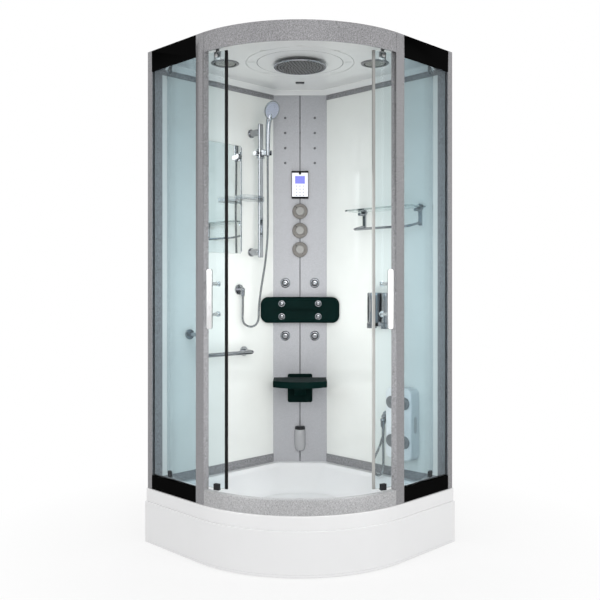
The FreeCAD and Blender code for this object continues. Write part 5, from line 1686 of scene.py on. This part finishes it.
@dataclass
class Column:
    """Column with its controller, knobs, jets, backrest, seat and steam hood."""

    face: float = 0.15797
    low: float = 0.247
    high: float = 2.190
    dot_u: float = 0.078
    dot_heights: Sequence[float] = (2.054, 1.975, 1.895, 1.817)
    controller_z: float = 1.701
    display_z: float = 1.7265
    eye_z: float = 1.760
    key_heights: Sequence[float] = (1.6940, 1.6776, 1.6612, 1.6448)
    key_places: Sequence[float] = (-0.018, 0.0, 0.018)
    knob_heights: Sequence[float] = (1.562, 1.461, 1.361)
    pointer: float = math.radians(135)
    jet_u: float = 0.0775
    jet_heights: Sequence[float] = (1.186, 0.908)
    pad_jet_u: float = 0.095
    pad_jet_heights: Sequence[float] = (1.078, 1.012)
    pad_jet_size: float = 36 / 52
    pad_half: tuple[float, float] = (0.204, 0.0675)
    pad_corner: float = 0.040
    pad_z: float = 1.0455
    pad_front_middle: float = 0.205
    pad_front_end: float = 0.235

    def at(self, u: float, z: float, off: float = 0.0) -> Vector:
        """Point on the column's face, or off it."""
        return diagonal_point(u, self.face + off, z)

    def slab(
        self, name: str, middle: tuple[float, float], half: tuple[float, float], corner: float, off: tuple[float, float]
    ) -> bpy.types.Object:
        """Rounded rectangular plate on the column.

        Args:
            name: the plate's name.
            middle: its middle across and up.
            half: half of its width and height.
            corner: radius of its corners.
            off: how far its back and its front are off the column's face.

        Returns:
            The plate.
        """
        ring = rounded_ring(
            lambda across, rise: self.at(middle[0] + across, middle[1] + rise, off[0]), *half, corner, steps=6
        )
        thickness = off[1] - off[0]
        return Bench.plate(name, ring, OUT_OF_CORNER * thickness, min(thickness, corner) * 0.3)

    def sheet(self) -> None:
        """The sheet, a dark strip of painted shade in the groove down its middle, and its small heads and screws."""
        Crew.paint("column_panel", Look.COLUMN)
        # The dark strip sunk in the middle groove is painted shade
        groove_strip = self.slab("column_groove_shade", (0, (self.low + self.high) / 2), (0.0026, 0.970), 0.0002, (-0.0014, -0.0006))
        Crew.deliver(groove_strip, Look.SEAM)
        profile = ((0.0066, 0.0), (0.0066, 0.0012), (0.0052, 0.0028), (0.0024, 0.0034), (0.0001, 0.0034))
        head = Bench.lathe("head", profile, Vector(), UP, 20)
        turn = turn_to(OUT_OF_CORNER)
        moves = [
            Matrix.Translation(self.at(u, z)) @ turn for u in (-self.dot_u, self.dot_u) for z in self.dot_heights
        ]
        Crew.deliver(Bench.repeat("column_heads", head, moves), Look.HEAD)
        profile = ((0.0044, 0.0), (0.0044, 0.0008), (0.0030, 0.0018), (0.0001, 0.0020))
        screw = Bench.lathe("screw", profile, Vector(), UP, 16)
        moves = [Matrix.Translation(self.at(0, z)) @ turn for z in self.dot_heights[:3]]
        Crew.deliver(Bench.repeat("column_screws", screw, moves), Look.HEAD)

    def controller(self) -> None:
        """Silver case between black bars, with a lit display and rows of touch marks."""
        z = self.controller_z
        case = self.slab("controller_body", (0, z), (0.0425, 0.0640), 0.004, (0.0, 0.0150))
        Crew.deliver(case, Look.CASE, instead_of=["controller_case"])
        frame_bars = [
            self.slab("bar", (0, z + rise), (0.0440, 0.0043), 0.002, (0.0, 0.0160)) for rise in (0.0672, -0.0672)
        ]
        for u in (-0.0430, 0.0430):
            frame_bars.append(self.slab("side", (u, z), (0.0010, 0.0640), 0.0006, (0.0, 0.0154)))
        Crew.deliver(Bench.join("controller_bars", frame_bars), Look.BLACK)
        face = self.slab("controller_face", (0, z), (0.0350, 0.0505), 0.005, (0.0148, 0.0159))
        Crew.deliver(face, Look.CASE, instead_of=["controller_screen"])
        display = self.slab("controller_display", (0, self.display_z), (0.0255, 0.0200), 0.0015, (0.0155, 0.0162))
        Crew.deliver(display, Look.SCREEN)
        profile = ((0.0062, 0.0), (0.0058, 0.0010), (0.0001, 0.0014))
        eye = Bench.lathe("controller_eye", profile, self.at(0, self.eye_z, 0.0150), OUT_OF_CORNER, 24)
        Crew.deliver(eye, Look.BLACK)
        keys = []
        for z in self.key_heights:
            for u in self.key_places:
                keys.append(self.slab("key", (u, z), (0.0036, 0.0026), 0.0012, (0.0157, 0.0161)))
        Crew.deliver(Bench.join("controller_keys", keys), Look.KEY)
        Crew.refine("control_box", Look.DARK_PLASTIC, bevel=0.0012)

    def knobs(self) -> None:
        """Three ribbed rings with pale middles and a pointer."""
        ring = (
            (0.0045, 0.0000),
            (0.0380, 0.0000),
            (0.0400, 0.0020),
            (0.0400, 0.0115),
            (0.0388, 0.0150),
            (0.0355, 0.0178),
            (0.0320, 0.0182),
            (0.0308, 0.0172),
            (0.0296, 0.0182),
            (0.0245, 0.0182),
            (0.0235, 0.0160),
            (0.0100, 0.0150),
        )
        middle = (
            (0.0232, 0.0150),
            (0.0230, 0.0225),
            (0.0215, 0.0250),
            (0.0190, 0.0260),
            (0.0080, 0.0256),
            (0.0001, 0.0250),
        )
        for body, z in zip(("mixer_knob", "diverter_knob", "jet_knob"), self.knob_heights):
            base = self.at(0, z, 0.004)
            knob = Bench.lathe(f"{body}_ring", ring, base, OUT_OF_CORNER, 56)
            Crew.deliver(knob, Look.KNOB_RING, body, [body])
            Crew.deliver(Bench.lathe(f"{body}_middle", middle, base, OUT_OF_CORNER, 48), Look.KNOB_FACE, body)
            marks = []
            for radius, size in ((0.0272, 0.0030), (0.0345, 0.0022)):
                place = (radius * math.cos(self.pointer), z + radius * math.sin(self.pointer))
                marks.append(self.slab("mark", place, (size, size * 0.7), size * 0.5, (0.0210, 0.0226)))
            Crew.deliver(Bench.join(f"{body}_mark", marks), Look.DARK_PLASTIC, body)
        Crew.refine("valve_body", Look.BRASS, bevel=0.0010)

    def jets(self) -> None:
        """Four large jets on the sheet and four small ones on the backrest."""
        cup = (
            (0.0255, 0.0000),
            (0.0260, 0.0018),
            (0.0245, 0.0044),
            (0.0205, 0.0066),
            (0.0180, 0.0064),
            (0.0172, 0.0040),
        )
        eye = (
            (0.0135, 0.0030),
            (0.0132, 0.0075),
            (0.0108, 0.0102),
            (0.0060, 0.0110),
            (0.0048, 0.0070),
            (0.0001, 0.0068),
        )
        well = ((0.0174, 0.0034), (0.0001, 0.0034))
        spots = [(self.at(u, z), 1.0) for u in (-self.jet_u, self.jet_u) for z in self.jet_heights]
        seat = self.pad_front(self.pad_jet_u) + 0.001
        spots += [
            (diagonal_point(u, seat, z), self.pad_jet_size)
            for u in (-self.pad_jet_u, self.pad_jet_u)
            for z in self.pad_jet_heights
        ]
        turn = turn_to(OUT_OF_CORNER)
        moves = [Matrix.Translation(place) @ turn @ Matrix.Scale(size, 4) for place, size in spots]
        cups = Bench.repeat("jet_cups", Bench.lathe("cup", cup, Vector(), UP, 40), moves[:4])
        Crew.deliver(cups, Look.CHROME, instead_of=["column_jets"])
        collars = Bench.repeat("pad_jet_collars", Bench.lathe("collar", cup, Vector(), UP, 40), moves[4:])
        Crew.deliver(collars, Look.CHROME)
        Crew.deliver(Bench.repeat("jet_eyes", Bench.lathe("eye", eye, Vector(), UP, 32), moves), Look.CHROME)
        Crew.deliver(Bench.repeat("jet_wells", Bench.lathe("well", well, Vector(), UP, 32), moves), Look.DARK_PLASTIC)

    def pad_front(self, u: float) -> float:
        """Distance of the backrest's hollow front from the corner.

        Args:
            u: distance to the right of the middle.

        Returns:
            The distance along the diagonal.
        """
        rise = self.pad_front_end - self.pad_front_middle
        radius = (self.pad_half[0] ** 2 + rise**2) / (2 * rise)
        return self.pad_front_middle + radius - math.sqrt(radius**2 - u**2)

    def backrest(self) -> None:
        """Moulded foam backrest: full edges, a hollow front and a shallow middle panel."""

        def ring(inset: float, depth: Callable[[float], float]) -> list[Vector]:
            """Outline drawn in by an inset, at a depth that changes along u."""
            return rounded_ring(
                lambda across, rise: diagonal_point(across, depth(across), self.pad_z + rise),
                self.pad_half[0] - inset,
                self.pad_half[1] - inset,
                max(self.pad_corner - inset, 0.0005),
                steps=8,
                sides=14,
            )

        def back(u: float) -> float:
            """Depth of the back: on the column, and on the walls beside it."""
            return max(self.face + SKIN, abs(u) + 0.0176)

        def front(below: float) -> Callable[[float], float]:
            """Depth of the front less a distance."""
            return lambda u: max(self.pad_front(u) - below, back(u) + 0.0008)

        rings = [ring(0.0015, back), ring(0.0, lambda u: back(u) + 0.0012)]
        for inset, below in ((0.0, 0.0130), (0.0010, 0.0085), (0.0038, 0.0040), (0.0085, 0.0012), (0.0140, 0.0)):
            rings.append(ring(inset, front(below)))
        for inset, below in ((0.0165, 0.0002), (0.0185, 0.0016), (0.0205, 0.0020), (0.0400, 0.0020), (0.0662, 0.0018)):
            rings.append(ring(inset, front(below)))
        pad = Bench.loft("backrest_cushion", rings)
        Crew.deliver(pad, Look.GREEN, instead_of=["backrest_pad"])

    def seat(self) -> None:
        """Folding seat and its bracket, with soft edges."""
        Crew.refine("seat_plate", Look.GREEN, "seat", bevel=0.0045, segments=4)
        Crew.refine("seat_bracket", Look.GREEN, bevel=0.0020, segments=3)

    def hood(self) -> None:
        """Bullet-shaped steam hood with a dark cap."""

        def section(width: float, depth: float, z: float) -> list[Vector]:
            """Half oval against the column."""
            return [self.at(width * x, z, 0.0003 + depth * max(0.0, y)) for x, y in on_circle(1.0, 32)]

        shape = (
            (0.0150, 0.0120, 0.3045),
            (0.0215, 0.0240, 0.3075),
            (0.0262, 0.0330, 0.3160),
            (0.0290, 0.0385, 0.3300),
            (0.0298, 0.0410, 0.3500),
            (0.0300, 0.0418, 0.3900),
            (0.0290, 0.0400, 0.4080),
            (0.0262, 0.0350, 0.4200),
        )
        shell = Bench.loft("steam_hood", [section(*row) for row in shape])
        Crew.deliver(shell, Look.HOOD, instead_of=["steam_outlet"])
        cap = ((0.0270, 0.0362, 0.4185), (0.0276, 0.0372, 0.4215), (0.0262, 0.0345, 0.4270), (0.0225, 0.0290, 0.4345))
        Crew.deliver(Bench.loft("steam_hood_cap", [section(*row) for row in cap]), Look.DARK_PLASTIC)
        Crew.refine("steam_generator", Look.STEEL, bevel=0.0010)

    def build(self) -> None:
        """Makes the whole column."""
        self.sheet()
        self.controller()
        self.knobs()
        self.jets()
        self.backrest()
        self.seat()
        self.hood()


# ---------------------------------------------------------------------------------------------
# Walls' fittings
# ---------------------------------------------------------------------------------------------


@dataclass
class LeftWall:
    """Mirror, slide bar with hand shower and soap dish, and grab bar."""

    pivot: Vector = field(default_factory=lambda: left_point(0.367, 0.138, 1.838))
    lean: float = math.radians(22)
    head_rise: float = 0.210
    head_reach: float = 0.026
    nozzle_rings: int = 4
    nozzle_pitch: float = 0.0088

    def handset(self) -> None:
        """Hand shower: a curved grip, a bowl-shaped head, and a pale spray face with nozzles."""
        forward = Vector((0, -1, 0))
        facing = forward * math.cos(self.lean) - UP * math.sin(self.lean)
        centre = self.pivot + UP * self.head_rise + forward * self.head_reach
        stations = (
            (-0.0199, 0.0000, 0.0015),
            (-0.0192, 0.0000, 0.0052),
            (-0.0178, 0.0000, 0.0086),
            (-0.0120, 0.0000, 0.0098),
            (0.0000, 0.0000, 0.0105),
            (0.0350, 0.0000, 0.0116),
            (0.0800, 0.0005, 0.0121),
            (0.1150, 0.0020, 0.0124),
            (0.1400, 0.0045, 0.0132),
            (0.1600, 0.0085, 0.0146),
            (0.1800, 0.0130, 0.0150),
            (0.1950, 0.0165, 0.0120),
        )
        rings = []
        for rise, reach, radius in stations:
            middle = self.pivot + UP * rise + forward * reach
            rings.append([middle + Vector((x, y, 0)) for x, y in on_circle(radius, 24)])
        grip = Bench.loft("grip", rings)
        pin = ((0.0001, -0.0158), (0.0040, -0.0158), (0.0040, 0.0158), (0.0001, 0.0158))
        trunnions = Bench.lathe("pins", pin, self.pivot, Vector((1, 0, 0)), 20)
        bowl = (
            (0.0001, -0.0100),
            (0.0200, -0.0092),
            (0.0370, -0.0050),
            (0.0460, 0.0010),
            (0.0488, 0.0060),
            (0.0480, 0.0088),
            (0.0450, 0.0099),
            (0.0415, 0.0090),
            (0.0001, 0.0086),
        )
        head = Bench.lathe("head", bowl, centre, facing, 48)
        body = Bench.join("handset_body", [grip, trunnions, head])
        Crew.deliver(body, Look.PLATED, "handset", ["handset"])
        face = ((0.0412, 0.0088), (0.0405, 0.0096), (0.0220, 0.0099), (0.0001, 0.0100))
        Crew.deliver(Bench.lathe("handset_face", face, centre, facing, 48), Look.SPRAY, "handset")
        nozzle = Bench.lathe("nozzle", ((0.0016, 0.0), (0.0012, 0.0014), (0.0001, 0.0016)), Vector(), UP, 8)
        stand = Matrix.Translation(centre) @ turn_to(facing)
        moves = []
        for ring in range(1, self.nozzle_rings + 1):
            for x, y in on_circle(self.nozzle_pitch * ring, 6 * ring):
                moves.append(stand @ Matrix.Translation(Vector((x, y, 0.0096))))
        Crew.deliver(Bench.repeat("handset_nozzles", nozzle, moves), Look.NOZZLE, "handset")

    def build(self) -> None:
        """Makes what hangs on the left wall."""
        Crew.refine("wall_mirror", Look.MIRROR, bevel=0.0012, segments=2)
        Crew.refine("slide_bar", Look.CHROME, bevel=0.0010)
        Crew.refine("slider", Look.PLATED, "slider", bevel=0.0016, segments=3)
        Crew.refine("soap_dish", Look.DISH, "soap_dish", bevel=0.0012, segments=3)
        Crew.refine("grab_bar", Look.CHROME, bevel=0.0012)
        self.handset()


@dataclass
class RightWall:
    """Shelf with towel rail, twin dispenser and foot massage."""

    face: float = 0.012
    bottle_middles: tuple[float, float] = (0.57225, 0.65675)
    bottle_half: float = 0.0396
    window_z: float = 1.072
    spine: tuple[float, float] = (0.6145, 1.055)
    disc_places: tuple[float, float] = (0.692, 0.767)
    disc_heights: tuple[float, float] = (0.433, 0.616)
    housing_depth: float = 0.062
    grip_middle: tuple[float, float, float] = (0.043, 0.806, 0.516)

    def bottle_ring(self, middle: float, z: float, side: float, nose: float, inset: float = 0.0) -> list[Vector]:
        """Outline of one dispenser column in plan: flat at the wall and round in front.

        Args:
            middle: its middle along the wall.
            z: height.
            side: length of its flat sides.
            nose: depth of its round front.
            inset: distance inside the outline.

        Returns:
            The outline's points.
        """
        reach = self.bottle_half - inset
        ring = [right_point(middle - reach, self.face + 0.0005, z)]
        for step in range(25):
            angle = math.pi * step / 24
            out = self.face + side + (nose - inset) * math.sin(angle)
            ring.append(right_point(middle - reach * math.cos(angle), out, z))
        return ring + [right_point(middle + reach, self.face + 0.0005, z)]

    def dispenser(self) -> None:
        """Two upright columns with round fronts, lids and small windows, over their push levers."""
        columns, windows = [], []
        for middle in self.bottle_middles:
            rings = [self.bottle_ring(middle, z, 0.010, 0.0300) for z in (0.9722, 0.9926)]
            for z, inset in (
                (0.9926, 0.0012),
                (0.9940, 0.0000),
                (1.1170, 0.0000),
                (1.1174, 0.0010),
                (1.1186, 0.0010),
                (1.1190, 0.0000),
                (1.1330, 0.0000),
                (1.1365, 0.0014),
                (1.1380, 0.0050),
            ):
                rings.append(self.bottle_ring(middle, z, 0.036, 0.0418, inset))
            columns.append(Bench.loft("column", rings))
            ring = rounded_ring(
                lambda across, rise, m=middle: right_point(m + across, self.face + 0.0766, self.window_z + rise),
                half_width=0.006,
                half_height=0.030,
                radius=0.0058,
            )
            windows.append(Bench.plate("window", ring, Vector((-0.0018, 0, 0)), 0.0004))
        Crew.deliver(Bench.join("dispenser_columns", columns), Look.PLATED, instead_of=["dispenser"])
        Crew.deliver(Bench.join("dispenser_windows", windows), Look.GREY_PLASTIC)
        spine = rounded_ring(
            lambda across, rise: right_point(self.spine[0] + across, self.face + 0.0005, self.spine[1] + rise),
            half_width=0.0060,
            half_height=0.081,
            radius=0.0004,
            steps=3,
        )
        Crew.deliver(Bench.plate("dispenser_spine", spine, Vector((-0.034, 0, 0))), Look.DARK_PLASTIC)
        for hand in ("left", "right"):
            name = f"dispenser_lever_{hand}"
            Crew.refine(name, Look.PLATED, name, bevel=0.0018, segments=3)

    def massager(self) -> None:
        """Foot massage housing with four grey discs and an oval grip in its side, whose hollow is painted shade."""
        Crew.refine("foot_massager", Look.HOUSING, bevel=0.0010)
        ring_profile = (
            (0.0285, 0.0000),
            (0.0300, 0.0016),
            (0.0296, 0.0058),
            (0.0268, 0.0080),
            (0.0230, 0.0076),
            (0.0190, 0.0054),
            (0.0090, 0.0050),
            (0.0064, 0.0092),
            (0.0035, 0.0100),
            (0.0001, 0.0100),
        )
        disc = Bench.lathe("disc", ring_profile, Vector(), UP, 40)
        turn = turn_to(Vector((-1, 0, 0)))
        moves = [
            Matrix.Translation(right_point(a, self.face + self.housing_depth, z)) @ turn
            for a in self.disc_places
            for z in self.disc_heights
        ]
        Crew.deliver(Bench.repeat("massage_discs", disc, moves), Look.GREY_PLASTIC, instead_of=["foot_discs"])
        b, a, z = self.grip_middle
        parts = []
        for half_b, half_z, lift in ((0.0150, 0.0420, 0.0012), (0.0120, 0.0385, 0.0018)):
            ring = rounded_ring(
                lambda across, rise, up=lift: Vector((HALF - b + across, HALF - a - up, z + rise)),
                half_width=half_b,
                half_height=half_z,
                radius=half_b - SKIN,
            )
            parts.append(Bench.plate("grip", ring, Vector((0, 0.0016, 0)), 0.0004))
        Crew.deliver(parts[0], Look.HOUSING)
        # The inner oval is painted shade in the grip's hollow
        Crew.deliver(parts[1], Look.SHADE_LINE)

    def build(self) -> None:
        """Makes what hangs on the right wall."""
        Crew.refine("glass_shelf", Look.SHELF, bevel=0.0012, segments=3)
        Crew.refine("towel_rail", Look.CHROME, bevel=0.0010)
        self.dispenser()
        self.massager()


def main() -> None:
    """Builds the cabin's looks in order."""
    logging.basicConfig(level=logging.INFO, format="%(message)s")
    Studio().build()
    Hoses().build()
    Tray().build()
    Shell().build()
    for hand in ("left", "right"):
        Door(hand).build()
    Ceiling().build()
    Column().build()
    LeftWall().build()
    RightWall().build()


if __name__ == "__main__":
    main()
